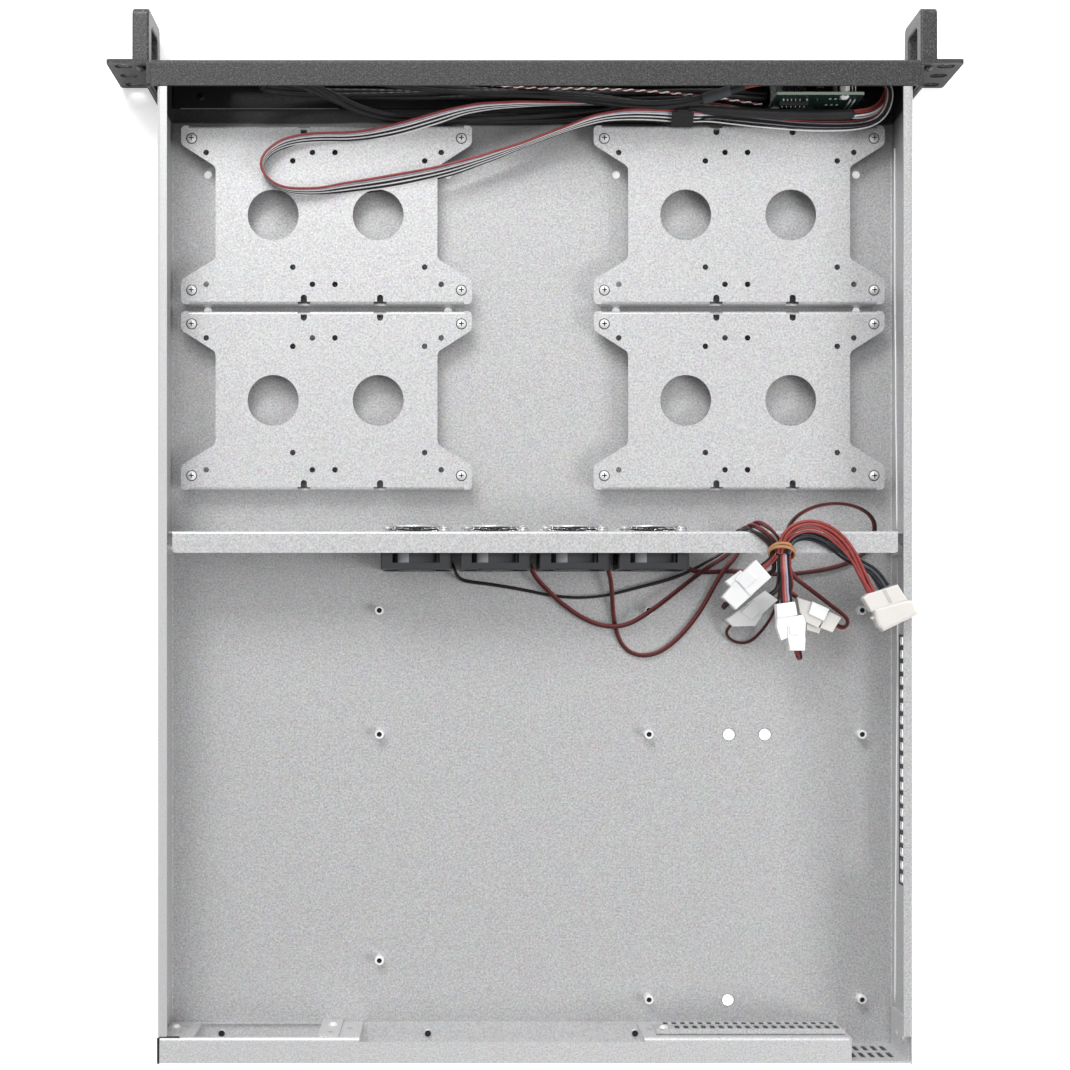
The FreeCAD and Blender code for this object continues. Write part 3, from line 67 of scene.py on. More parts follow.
# ------------------------------------------------------------------ materials
class Mat:
    """A node material under construction: a Principled shader and helpers for its inputs."""

    def __init__(self, name, colour=(0.8, 0.8, 0.8), metallic=0.0, roughness=0.5, **sockets):
        self.m = bpy.data.materials.new(name)
        self.m.use_nodes = True
        self.t = self.m.node_tree
        self.t.nodes.clear()
        self.out = self.t.nodes.new("ShaderNodeOutputMaterial")
        self.p = self.t.nodes.new("ShaderNodeBsdfPrincipled")
        self.t.links.new(self.p.outputs[0], self.out.inputs[0])
        self.p.inputs["Base Color"].default_value = (*colour, 1)
        self.p.inputs["Metallic"].default_value = metallic
        self.p.inputs["Roughness"].default_value = roughness
        for k, v in sockets.items():
            self.p.inputs[k.replace("_", " ")].default_value = v
        self.coord = self.t.nodes.new("ShaderNodeTexCoord").outputs["Object"]

    def put(self, socket, value):
        if isinstance(value, bpy.types.NodeSocket):
            self.t.links.new(value, socket)
        else:
            socket.default_value = value

    def scaled(self, xyz):
        n = self.t.nodes.new("ShaderNodeMapping")
        self.put(n.inputs["Vector"], self.coord)
        n.inputs["Scale"].default_value = xyz
        return n.outputs[0]

    def noise(self, scale, detail=2.0, rough=0.5, coord=None, distortion=0.0):
        n = self.t.nodes.new("ShaderNodeTexNoise")
        self.put(n.inputs["Vector"], coord or self.coord)
        n.inputs["Scale"].default_value = scale
        n.inputs["Detail"].default_value = detail
        n.inputs["Roughness"].default_value = rough
        n.inputs["Distortion"].default_value = distortion
        return n.outputs["Fac"]

    def cells(self, scale, coord=None, feature="F1", out="Color"):
        n = self.t.nodes.new("ShaderNodeTexVoronoi")
        n.feature = feature
        self.put(n.inputs["Vector"], coord or self.coord)
        n.inputs["Scale"].default_value = scale
        return n.outputs[out]

    def span(self, value, a0, a1, b0, b1):
        n = self.t.nodes.new("ShaderNodeMapRange")
        self.put(n.inputs["Value"], value)
        for k, v in (("From Min", a0), ("From Max", a1), ("To Min", b0), ("To Max", b1)):
            n.inputs[k].default_value = v
        return n.outputs[0]

    def math(self, op, a, b=0.0):
        n = self.t.nodes.new("ShaderNodeMath")
        n.operation = op
        self.put(n.inputs[0], a)
        self.put(n.inputs[1], b)
        return n.outputs[0]

    def mix(self, fac, a, b, blend="MIX"):
        n = self.t.nodes.new("ShaderNodeMix")
        n.data_type = "RGBA"
        n.blend_type = blend
        self.put(n.inputs["Factor"], fac)
        self.put(n.inputs["A"] if False else n.inputs[6], a)
        self.put(n.inputs[7], b)
        return n.outputs[2]

    def ramp(self, value, stops):
        n = self.t.nodes.new("ShaderNodeValToRGB")
        self.put(n.inputs[0], value)
        e = n.color_ramp.elements
        while len(e) < len(stops):
            e.new(0.5)
        for el, (pos, c) in zip(e, stops):
            el.position = pos
            el.color = (*c, 1) if len(c) == 3 else c
        return n.outputs[0]

    def bump(self, height, strength, distance, normal=None):
        n = self.t.nodes.new("ShaderNodeBump")
        self.put(n.inputs["Height"], height)
        n.inputs["Strength"].default_value = strength
        n.inputs["Distance"].default_value = distance
        if normal is not None:
            self.put(n.inputs["Normal"], normal)
        return n.outputs[0]

    def place(self):
        """The X, Y and Z of the shaded point in the row frame, in metres."""
        g = self.t.nodes.new("ShaderNodeNewGeometry")
        n = self.t.nodes.new("ShaderNodeSeparateXYZ")
        self.t.links.new(g.outputs["Position"], n.inputs[0])
        return n.outputs[0], n.outputs[1], n.outputs[2]

    def set(self, **sockets):
        for k, v in sockets.items():
            self.put(self.p.inputs[k.replace("_", " ")], v)
        return self


def grey(v):
    return (v, v, v, 1)


def zinc(name, tone, metallic=0.62, rough=0.40, warm=0.0, grain=0.10, tray=False):
    """Galvanised sheet: fine matte grain, faint spangle cells, slow tone drift.
    The tray has the front channel's black coat run onto its floor, a painted shadow fading out behind that coat, and
    painted light on its top flanges, the left one lightest."""
    a = Mat(name, metallic=metallic)
    fine = a.noise(980.0, 2.0, 0.8)
    mid = a.noise(420.0, 2.0, 0.6)
    cell = a.cells(230.0)
    slow = a.noise(11.0, 3.0, 0.55)
    lo, hi = tone * (1 - grain), tone * (1 + grain)
    base = a.ramp(fine, [(0.25, (lo, lo, lo * 1.01)), (0.5, (tone, tone, tone * 1.012)), (0.78, (hi, hi * 0.998, hi * (1.015 - warm)))])
    base = a.mix(0.055, base, cell, "SOFT_LIGHT")
    base = a.mix(a.span(slow, 0.3, 0.7, 0.0, 0.10), base, grey(tone * 0.86))
    if tray:
        x, y, z = a.place()
        # painted light: the top flanges' colour drawn towards a lighter grey, strongly on the left flange (x > 0) and a
        # little on the right, for the light falling on them
        top = a.span(z, 0.0426, 0.0430, 0.0, 1.0)
        base = a.mix(a.math("MULTIPLY", top, a.span(x, 0.0, 0.001, 0.0, 0.70)), base, grey(0.62))
        base = a.mix(a.math("MULTIPLY", top, a.span(x, -0.001, 0.0, 0.10, 0.0)), base, grey(0.62))
        low = a.span(z, 0.0380, 0.0400, 1.0, 0.0)
        edge = a.math("ADD", y, a.span(slow, 0.3, 0.7, -0.0010, 0.0010))
        # painted shadow: the floor below the flanges darkened softly from the black coat's edge back about 23 mm, for
        # the shade the front channel casts
        painted_shadow = a.math("MULTIPLY", low, a.span(edge, -0.2430, -0.2200, 0.62, 0.0))
        base = a.mix(painted_shadow, base, grey(0.10))
        coat = a.math("MULTIPLY", low, a.span(edge, -0.2436, -0.2422, 1.0, 0.0))
        base = a.mix(coat, base, a.ramp(fine, [(0.3, (0.014, 0.014, 0.015)), (0.7, (0.045, 0.045, 0.047))]))
        a.set(Metallic=a.math("SUBTRACT", metallic, a.math("MULTIPLY", a.math("MAXIMUM", coat, painted_shadow), metallic * 0.9)))
    a.set(Base_Color=base)
    r = a.math("ADD", a.span(mid, 0.25, 0.75, rough - 0.05, rough + 0.06), a.span(fine, 0.3, 0.7, -0.03, 0.03))
    a.set(Roughness=r, Normal=a.bump(fine, 0.10, 0.00012))
    return a.m


def powder(name, tone, rough=0.5, size=900.0, strength=0.35, blue=1.0, channel=False):
    """Textured powder coat: pebbled skin, the crests' colour lightened as small painted glints."""
    a = Mat(name, metallic=0.0, Specular_IOR_Level=0.42)
    peb = a.noise(size, 2.0, 0.55)
    fine = a.noise(size * 2.6, 1.0, 0.5)
    slow = a.noise(14.0, 2.0, 0.5)
    c = a.ramp(peb, [(0.34, (tone * 0.40, tone * 0.40, tone * 0.40 * blue)), (0.53, (tone, tone, tone * blue)), (0.70, (tone * 2.4, tone * 2.4, tone * 2.4 * blue))])
    c = a.mix(a.span(slow, 0.3, 0.7, 0.0, 0.12), c, grey(tone * 1.3))
    if channel:
        # painted shade: the channel's inner faces, behind the front face and below the top strip, coloured almost black
        # for the shade in the channel
        x, y, z = a.place()
        channel_shade = a.math("MULTIPLY", a.span(y, -0.2658, -0.2655, 0.0, 1.0), a.span(z, 0.0405, 0.0410, 1.0, 0.0))
        c = a.mix(channel_shade, c, grey(0.009))
    a.set(Base_Color=c, Roughness=a.span(fine, 0.3, 0.7, rough - 0.07, rough + 0.09), Normal=a.bump(peb, strength, 0.0004))
    return a.m


def rivet(name):
    """Plated rivets; those in the front channel are coated over with it."""
    a = Mat(name, metallic=0.3)
    x, y, z = a.place()
    n = a.noise(900.0, 2.0, 0.6)
    c = a.ramp(n, [(0.3, (0.50, 0.50, 0.505)), (0.7, (0.66, 0.66, 0.665))])
    a.set(Base_Color=a.mix(a.span(y, -0.2430, -0.2420, 1.0, 0.0), c, grey(0.012)), Roughness=a.span(n, 0.3, 0.7, 0.34, 0.48), Normal=a.bump(n, 0.1, 0.0002))
    return a.m


def plastic(name, colour, rough=0.4, grain=1400.0, strength=0.08, vary=0.10, subsurface=0.0, radius=0.001, **more):
    """Moulded plastic: faint texture, soft tone change, optional light scatter."""
    a = Mat(name, roughness=rough, **more)
    slow = a.noise(90.0, 2.0, 0.5)
    fine = a.noise(grain, 2.0, 0.5)
    dark = tuple(c * (1 - vary) for c in colour)
    a.set(Base_Color=a.ramp(slow, [(0.3, dark), (0.7, colour)]))
    a.set(Roughness=a.span(fine, 0.3, 0.7, rough - 0.05, rough + 0.08), Normal=a.bump(fine, strength, 0.0002))
    if subsurface:
        a.p.inputs["Subsurface Weight"].default_value = subsurface
        a.p.inputs["Subsurface Radius"].default_value = (1.0, 0.95, 0.9)
        a.p.inputs["Subsurface Scale"].default_value = radius
    return a.m


def metal(name, tone, rough=0.3, tint=(1, 1, 1), metallic=1.0, scratch=0.12):
    a = Mat(name, metallic=metallic)
    n = a.noise(700.0, 3.0, 0.6)
    s = a.noise(160.0, 2.0, 0.6)
    c0 = tuple(tone * 0.8 * t for t in tint)
    c1 = tuple(min(1.0, tone * 1.08 * t) for t in tint)
    a.set(Base_Color=a.ramp(s, [(0.3, c0), (0.65, c1)]), Roughness=a.span(n, 0.3, 0.7, rough - 0.08, rough + 0.10), Normal=a.bump(n, scratch, 0.0002))
    return a.m


def vinyl(name, colour, rough=0.42, vary=0.22):
    """Wire insulation: smooth extruded vinyl with handling marks along it."""
    a = Mat(name, roughness=rough, Specular_IOR_Level=0.45)
    s = a.noise(240.0, 3.0, 0.6)
    f = a.noise(2400.0, 1.0, 0.5)
    dark = tuple(c * (1 - vary) for c in colour)
    light = tuple(min(1.0, c * (1 + vary * 0.5) + 0.01) for c in colour)
    a.set(Base_Color=a.ramp(s, [(0.3, dark), (0.55, colour), (0.8, light)]), Roughness=a.span(s, 0.3, 0.7, rough - 0.08, rough + 0.12), Normal=a.bump(f, 0.06, 0.0001))
    return a.m


M = {
    "zinc": zinc("galvanised_sheet", 0.56, metallic=0.45, grain=0.42),
    "tray": zinc("galvanised_tray", 0.56, metallic=0.45, grain=0.42, tray=True),
    "zinc_bright": zinc("galvanised_bracket", 0.62, metallic=0.45, grain=0.38),
    "panel": powder("panel_powder_coat", 0.043, size=1200.0, channel=True),
    "handle": powder("handle_powder_coat", 0.054, rough=0.34, size=1100.0, strength=0.3),
    "screw": metal("plated_steel", 0.98, 0.30, metallic=0.30),
    "screw_plain": metal("plated_screw_plain", 0.62, 0.30, metallic=0.75),
    "rear": zinc("galvanised_rear", 0.66, metallic=0.45, grain=0.30),
    "rivet": rivet("chassis_rivet"),
    "wall": zinc("galvanised_fan_wall", 0.60, metallic=0.45, grain=0.38),
    "pcb": None,
    "shell": metal("port_steel", 0.62, 0.25),
    "black": plastic("black_plastic", (0.022, 0.022, 0.024), 0.45),
    "button": plastic("button_plastic", (0.19, 0.19, 0.20), 0.45),
    "lens": plastic("lamp_lens", (0.72, 0.80, 0.72), 0.12, subsurface=0.4, radius=0.0015),
    "fan": plastic("fan_plastic", (0.030, 0.031, 0.034), 0.36, grain=900.0, strength=0.15),
    "rotor": plastic("rotor_plastic", (0.024, 0.024, 0.027), 0.32),
    "wire_guard": metal("chromed_wire", 0.86, 0.16),
    "nylon_a": plastic("nylon_white", (0.93, 0.935, 0.94), 0.38, subsurface=0.2, radius=0.0010, vary=0.04),
    # connector B's white nylon is painted lighter than connector A's to make up for the shade A casts on it: painted
    # light
    "nylon_b": plastic("nylon_white_painted_lighter", (0.985, 0.988, 0.99), 0.30, subsurface=0.3, radius=0.0012, vary=0.04),
    "nylon_d": plastic("nylon_cream", (0.70, 0.685, 0.66), 0.36, subsurface=0.3, radius=0.0012, vary=0.05),
    "ivory": plastic("nylon_ivory", (0.66, 0.635, 0.605), 0.42, subsurface=0.25, radius=0.0015, vary=0.05),
    "band": plastic("natural_rubber", (0.46, 0.235, 0.105), 0.5, grain=500.0, strength=0.3, vary=0.35, subsurface=0.3, radius=0.001),
    "red": vinyl("vinyl_red", (0.29, 0.055, 0.050)),
    "dark_red": vinyl("vinyl_dark_red", (0.22, 0.036, 0.034)),
    "blk": vinyl("vinyl_black", (0.016, 0.014, 0.016), 0.36),
    "brown": vinyl("vinyl_brown", (0.10, 0.045, 0.035)),
    "blue": vinyl("vinyl_blue_grey", (0.045, 0.058, 0.075)),
    "lav": vinyl("vinyl_lavender", (0.45, 0.44, 0.55)),
    "white": vinyl("vinyl_white", (0.82, 0.81, 0.81), vary=0.10),
    "grey": vinyl("vinyl_grey", (0.40, 0.41, 0.44), vary=0.12),
    "pink": vinyl("vinyl_faded_red", (0.55, 0.20, 0.18)),
    "sheath": plastic("cable_sheath", (0.030, 0.030, 0.032), 0.34, grain=600.0, strength=0.25, vary=0.3),
    "tape": plastic("cloth_tape", (0.055, 0.056, 0.060), 0.5, grain=1900.0, strength=0.5, vary=0.25),
    "dark_steel": metal("black_oxide_steel", 0.10, 0.42),
    "bore": plastic("shaded_bore", (0.012, 0.011, 0.011), 0.7),
    "slot_dark": plastic("painted_slot_shade", (0.045, 0.047, 0.050), 0.6),
    "plug_shade": plastic("painted_recess_shade", (0.50, 0.48, 0.455), 0.6),
    "edge_grey": plastic("bare_edge", (0.16, 0.16, 0.165), 0.4),
    "bright": plastic("painted_fold_highlight", (0.93, 0.935, 0.945), 0.3),
    "fan_lit": plastic("fan_plastic_painted_highlight", (0.20, 0.205, 0.22), 0.3),
    "grey_tape": plastic("grey_cloth_tape", (0.075, 0.080, 0.087), 0.55, grain=1900.0, strength=0.5, vary=0.3),
    "lead_red": vinyl("vinyl_lead_red", (0.20, 0.044, 0.042)),
    "maroon": vinyl("vinyl_maroon", (0.060, 0.012, 0.013)),
    "solder": metal("solder", 0.80, 0.25),
    "beige": plastic("beige_plastic", (0.62, 0.56, 0.50), 0.5),
}

# circuit board: solder mask with faint copper runs under it, paler cut edge
_b = Mat("circuit_board", roughness=0.35)
_sep = _b.t.nodes.new("ShaderNodeSeparateXYZ")
_geo = _b.t.nodes.new("ShaderNodeNewGeometry")
_b.t.links.new(_geo.outputs["True Normal"], _sep.inputs[0])
_edge = _b.math("LESS_THAN", _b.math("ABSOLUTE", _sep.outputs[1]), 0.5)
_run = _b.cells(420.0, coord=_b.scaled((1.0, 0.0, 1.6)), feature="DISTANCE_TO_EDGE", out="Distance")
_mask = _b.mix(_b.span(_run, 0.02, 0.07, 1.0, 0.0), (0.008, 0.020, 0.016, 1), (0.014, 0.040, 0.028, 1))
_b.set(Base_Color=_b.mix(_edge, _mask, (0.30, 0.36, 0.30, 1)), Normal=_b.bump(_run, 0.25, 0.0003))
M["pcb"] = _b.m

# stage floor
_s = Mat("studio_floor", roughness=0.9)
_s.set(Base_Color=_s.mix(_s.noise(3.0, 2.0, 0.5), (0.97, 0.97, 0.97, 1), (0.95, 0.95, 0.955, 1)))
_s.p.inputs["Emission Color"].default_value = (1, 1, 1, 1)
_s.p.inputs["Emission Strength"].default_value = 0.42
M["floor"] = _s.m

CAD_FINISH = {
    "zinc_sheet": "zinc", "panel_paint": "panel", "handle_paint": "handle", "plated_screw": "screw",
    "circuit_board": "pcb", "port_shell": "shell", "black_plastic": "black", "grey_button": "button",
    "led_lens": "lens", "fan_plastic": "fan", "guard_wire": "wire_guard", "band_rubber": "band",
    "ivory_plastic": "ivory", "white_plastic": "nylon_a", "wire_red_black": "dark_red", "wire_red": "red",
    "wire_black": "blk", "wire_red_white": "pink", "ribbon_grey": "grey",
}
OWN = {"fan_connector_2": "nylon_b", "fan_connector_4": "nylon_d", "chassis_tray": "tray", "fan_wall": "wall", "ear_screws": "dark_steel", "chassis_rivets": "rivet", "fan_screws": "screw_plain", "rear_panel": "rear", "psu_bracket": "rear"}
for k in "1234":
    OWN["drive_bracket_" + k] = "zinc_bright"
    OWN["fan_rotor_" + k] = "rotor"
for name, node in NODES.items():
    for s in node.material_slots:
        key = OWN.get(name) or CAD_FINISH.get(s.material.name.split(".")[0] if s.material else "", "zinc")
        s.material = M[key]


# ------------------------------------------------------------------ mesh helpers
def mm(x, v, z):
    """Case coordinates in mm (v from the panel's face backwards) to the row frame in metres."""
    return Vector((x / 1000.0, (v - 267.0) / 1000.0, z / 1000.0))


def route(points):
    return [mm(*p) for p in points]


def nurbs_line(points, res=8):
    """The points of the route's own NURBS curve, which has no bevel."""
    cu = bpy.data.curves.new("route", "CURVE")
    cu.dimensions = "3D"
    cu.resolution_u = res
    sp = cu.splines.new("NURBS")
    sp.points.add(len(points) - 1)
    for q, p in zip(sp.points, points):
        q.co = (p[0], p[1], p[2], 1.0)
    sp.order_u = 3
    sp.use_endpoint_u = True
    ob = link(bpy.data.objects.new("route", cu))
    me = bpy.data.meshes.new_from_object(ob)
    line = [v.co.copy() for v in me.vertices]
    bpy.data.objects.remove(ob)
    bpy.data.curves.remove(cu)
    bpy.data.meshes.remove(me)
    return line


def measure(line):
    s = [0.0]
    for a, b in zip(line, line[1:]):
        s.append(s[-1] + (b - a).length)
    return s


def frames(line, pull=0.12):
    """Tangent, upward normal and side at each point: carried along the line, and drawn slowly back to upright."""
    out = []
    up = Vector((0, 0, 1))
    n = None
    for i in range(len(line)):
        a, b = line[max(0, i - 1)], line[min(len(line) - 1, i + 1)]
        t = (b - a).normalized()
        if n is None:
            n = up if abs(t.z) < 0.95 else Vector((0, 1, 0))
        n = n - t * n.dot(t)
        u = up - t * up.dot(t)
        if u.length > 0.35:
            n = n.normalized().lerp(u.normalized(), pull)
            n = n - t * n.dot(t)
        n.normalize()
        out.append((t, n.copy(), t.cross(n)))
    return out


def keyed(keys, x):
    """Smooth interpolation of (position, value or tuple) keys."""
    if x <= keys[0][0]:
        return keys[0][1]
    for (x0, v0), (x1, v1) in zip(keys, keys[1:]):
        if x <= x1:
            f = (x - x0) / (x1 - x0)
            f = f * f * (3 - 2 * f)
            if isinstance(v0, (tuple, list)):
                return tuple(a + (b - a) * f for a, b in zip(v0, v1))
            return v0 + (v1 - v0) * f
    return keys[-1][1]


class Build:
    """Collects rings, boxes and turned shapes into one mesh object."""

    def __init__(self):
        self.v, self.f, self.k, self.smooth = [], [], [], []

    def face(self, idx, mat, smooth=True):
        self.f.append(idx)
        self.k.append(mat)
        self.smooth.append(smooth)

    def rings(self, rings, mat, caps=True, smooth=True, closed=False):
        base = len(self.v)
        n = len(rings[0])
        for r in rings:
            self.v.extend(tuple(p) for p in r)
        m = len(rings)
        mats = mat if isinstance(mat, (list, tuple)) else [mat] * n
        for i in range(m if closed else m - 1):
            a, b = base + i * n, base + ((i + 1) % m) * n
            for j in range(n):
                j2 = (j + 1) % n
                self.face((a + j, a + j2, b + j2, b + j), mats[j], smooth)
        if caps and not closed:
            self.face(tuple(base + j for j in reversed(range(n))), mats[0], False)
            self.face(tuple(base + (m - 1) * n + j for j in range(n)), mats[0], False)

    def tube(self, pts, r, mat, sides=10, closed=False, flat=(1.0, 1.0), up=None):
        fr = frames(pts) if up is None else up
        rings = []
        for i, p in enumerate(pts):
            t, n, b = fr[i]
            rr = r(i / (len(pts) - 1)) if callable(r) else r
            rings.append([p + n * (math.sin(a) * rr * flat[1]) + b * (math.cos(a) * rr * flat[0]) for a in (2 * math.pi * j / sides for j in range(sides))])
        self.rings(rings, mat, closed=closed)

    def box(self, c, size, mat, turn=None, chamfer=0.0002, taper=1.0):
        """A block with chamfered edges, its top face scaled by taper."""
        hx, hy, hz = (s / 2 for s in size)
        ch = min(chamfer, hx * 0.9, hy * 0.9, hz * 0.9)
        rings = []
        for z, ins, sc in ((-hz, ch, 1.0), (-hz + ch, 0.0, 1.0), (hz - ch, 0.0, taper), (hz, ch, taper)):
            x, y = (hx - ins) * sc, (hy - ins) * sc
            cx, cy = max(x - ch, 0.0), max(y - ch, 0.0)
            if ins:
                cx, cy = max(x - ch * 0.3, 0.0), max(y - ch * 0.3, 0.0)
            rings.append([Vector(p) for p in ((x, -cy, z), (x, cy, z), (cx, y, z), (-cx, y, z), (-x, cy, z), (-x, -cy, z), (-cx, -y, z), (cx, -y, z))])
        turn = turn or Matrix.Identity(3)
        c = Vector(c)
        self.rings([[c + turn @ p for p in r] for r in rings], mat, smooth=False)

    def lathe(self, c, axis, profile, mat, sides=20, smooth=True):
        """profile is (radius, height along the axis) pairs."""
        axis = Vector(axis).normalized()
        q = Vector((0, 0, 1)).rotation_difference(axis)
        c = Vector(c)
        self.rings([[c + q @ Vector((r * math.cos(a), r * math.sin(a), h)) for a in (2 * math.pi * j / sides for j in range(sides))] for r, h in profile], mat, smooth=smooth)

    def make(self, name, mats, body="case", replaces=()):
        me = bpy.data.meshes.new(name)
        me.from_pydata(self.v, [], self.f)
        me.validate()
        me.polygons.foreach_set("material_index", self.k[:len(me.polygons)])
        me.polygons.foreach_set("use_smooth", self.smooth[:len(me.polygons)])
        for m in mats:
            me.materials.append(m)
        o = link(bpy.data.objects.new(name, me))
        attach(o, body)
        if replaces:
            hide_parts(*replaces)
        return o


def wavy(seed, scale):
    """A smooth wandering value of the distance along a wire, in units of its argument's metres."""
    rnd = random.Random(seed)
    terms = [(rnd.uniform(0.6, 1.4), rnd.uniform(0, 6.28), rnd.uniform(0.7, 1.6)) for _ in range(3)]
    return lambda s: scale * sum(a * math.sin(s / 0.05 * w + p) for a, p, w in terms) / 3.0


def strands(build, line, wires, sides=10):
    """wires: (radius, material, offset(s, f) -> (side, up) in metres)."""
    fr, s = frames(line), measure(line)
    for r, mat, off in wires:
        pts = []
        for i, p in enumerate(line):
            a, b = off(s[i], s[i] / s[-1])
            pts.append(p + fr[i][2] * a + fr[i][1] * b)
        build.tube(pts, r, mat, sides)


# ------------------------------------------------------------------ cord routes, mm
LEAD_1 = [(49.3, 278.2, 10.6), (45.9, 284.2, 10.1), (44.3, 288.6, 7.0), (41.4, 291.4, 3.6), (36.0, 292.6, 2.5),
          (28.4, 293.4, 2.5), (16.9, 295.1, 2.5), (2.7, 297.6, 2.5), (-10.1, 300.5, 2.5), (-27.5, 302.1, 2.5),
          (-44.5, 300.5, 2.5), (-63.7, 295.4, 2.5), (-78.5, 291.8, 3.0), (-90.5, 287.2, 4.4), (-102.5, 280.8, 5.2),
          (-112.0, 275.0, 5.0), (-117.4, 269.6, 4.2), (-118.4, 264.8, 8.0), (-118.4, 263.5, 15.0), (-118.8, 263.8, 24.0),
          (-118.3, 263.2, 33.5), (-119.2, 263.0, 41.0), (-122.6, 265.4, 45.2), (-128.2, 269.4, 45.4), (-132.8, 273.6, 44.9),
          (-133.9, 282.4, 44.7), (-134.9, 287.6, 41.2), (-131.9, 289.4, 35.4), (-124.9, 289.6, 32.2), (-117.0, 298.0, 26.0),
          (-109.9, 306.5, 19.8), (-107.8, 309.0, 25.8), (-110.9, 305.4, 28.4)]
LEAD_2 = [(4.6, 278.2, 10.6), (1.1, 284.4, 10.2), (-0.9, 288.6, 8.4), (-4.6, 293.2, 6.6), (-10.4, 299.0, 5.8),
          (-17.3, 305.4, 5.4), (-27.9, 313.0, 5.4), (-38.4, 317.8, 5.8), (-48.4, 319.0, 6.2), (-57.0, 317.0, 7.2),
          (-64.4, 312.6, 8.9), (-71.6, 307.7, 9.0), (-81.5, 300.2, 7.2), (-92.3, 291.4, 8.6), (-103.0, 283.6, 8.8),
          (-113.4, 277.2, 6.0), (-119.6, 270.6, 4.2), (-120.9, 264.2, 8.0), (-120.9, 262.8, 15.0), (-121.3, 263.1, 24.4),
          (-120.8, 262.5, 34.2), (-121.9, 261.6, 42.2), (-125.2, 263.6, 46.6), (-130.8, 267.8, 46.8), (-135.4, 272.6, 45.0),
          (-136.5, 282.4, 44.7), (-137.4, 288.0, 40.6), (-139.2, 293.6, 33.6), (-140.8, 299.8, 25.4), (-140.8, 306.2, 17.0),
          (-138.6, 314.0, 9.6), (-134.0, 321.6, 4.6), (-127.6, 328.0, 2.8), (-119.6, 328.4, 2.7), (-113.0, 323.6, 4.6),
          (-113.9, 319.1, 8.2), (-117.1, 316.3, 11.1)]
LEAD_3 = [(-40.1, 278.2, 10.6), (-43.6, 284.6, 10.2), (-45.6, 291.0, 8.2), (-46.5, 299.6, 6.2), (-47.2, 308.4, 4.0),
          (-48.4, 318.0, 2.5), (-51.4, 327.6, 2.5), (-57.1, 333.9, 2.5), (-65.0, 336.0, 2.5), (-73.8, 334.2, 2.5),
          (-82.5, 328.4, 2.5), (-91.7, 319.0, 2.5), (-100.4, 306.8, 2.6), (-106.6, 294.8, 3.7), (-112.6, 284.8, 5.2),
          (-118.8, 278.2, 5.2), (-122.4, 270.6, 4.2), (-123.4, 263.6, 8.0), (-123.4, 262.2, 15.0), (-123.8, 262.4, 24.8),
          (-123.2, 261.6, 35.0), (-124.6, 260.2, 43.4), (-128.0, 261.8, 48.0), (-133.4, 266.0, 48.2), (-138.0, 271.8, 45.6),
          (-139.1, 282.4, 44.7), (-140.0, 288.2, 40.8), (-141.6, 294.2, 34.6), (-143.2, 301.2, 28.4), (-145.6, 312.0, 25.4),
          (-148.8, 325.0, 23.6), (-152.0, 336.8, 22.4), (-152.3, 337.7, 29.1), (-150.9, 332.6, 29.9)]
LEAD_4 = [(-84.8, 278.2, 10.6), (-88.8, 284.0, 10.0), (-94.6, 286.6, 7.6), (-101.6, 287.0, 4.2), (-111.6, 286.2, 2.5),
          (-125.0, 286.6, 2.5), (-139.4, 287.8, 2.5), (-152.3, 287.9, 2.5), (-165.2, 286.4, 2.5), (-178.1, 283.8, 2.5),
          (-188.6, 279.9, 2.5), (-196.2, 273.9, 2.8), (-199.4, 266.6, 4.4), (-199.6, 259.2, 9.5), (-193.8, 253.0, 17.0),
          (-182.9, 249.2, 25.0), (-170.4, 248.6, 32.5), (-158.6, 250.8, 38.8), (-148.5, 255.5, 43.4), (-142.6, 261.4, 45.6),
          (-141.0, 267.4, 45.2), (-141.8, 273.4, 44.75), (-141.7, 282.4, 44.7), (-143.8, 287.6, 40.8), (-147.6, 291.2, 34.8),
          (-153.4, 294.4, 28.4), (-162.4, 300.0, 21.8), (-172.6, 307.2, 18.2), (-183.2, 314.9, 16.8), (-179.2, 320.8, 16.6),
          (-174.8, 317.6, 17.7)]
LEG_1 = [(-134.3, 278.5, 47.45), (-132.8, 281.9, 46.2), (-127.2, 286.5, 42.0)]
LEG_2 = [(-136.6, 278.5, 47.45), (-136.9, 284.8, 46.7), (-137.6, 291.0, 42.6), (-138.0, 296.2, 36.2), (-137.2, 299.2, 30.6),
         (-134.9, 300.7, 27.0)]
LEG_3 = [(-139.2, 278.5, 47.45), (-139.7, 285.0, 46.8), (-140.8, 292.2, 43.2), (-141.9, 299.0, 37.6), (-143.3, 305.4, 34.0)]
LEG_4 = [(-141.8, 278.5, 47.45), (-142.0, 285.0, 46.8), (-143.6, 290.8, 42.0), (-146.0, 294.8, 35.0), (-146.4, 298.0, 28.2),
         (-147.2, 299.2, 22.9), (-151.4, 301.8, 22.0)]
POWER_RED = [(-136.4, 278.3, 48.1), (-137.2, 271.6, 48.8), (-143.2, 264.6, 50.8), (-154.6, 261.9, 51.2), (-166.6, 266.6, 51.0),
             (-176.6, 278.0, 51.0), (-182.9, 290.6, 49.8), (-187.9, 301.0, 48.6)]
POWER_BLACK = [(-140.5, 278.3, 48.1), (-142.2, 271.9, 48.1), (-148.0, 268.3, 47.3), (-155.6, 268.4, 46.2), (-165.2, 272.6, 45.8),
               (-174.2, 279.8, 45.4), (-183.0, 284.6, 45.6), (-190.6, 289.4, 47.6), (-194.9, 297.2, 48.6)]
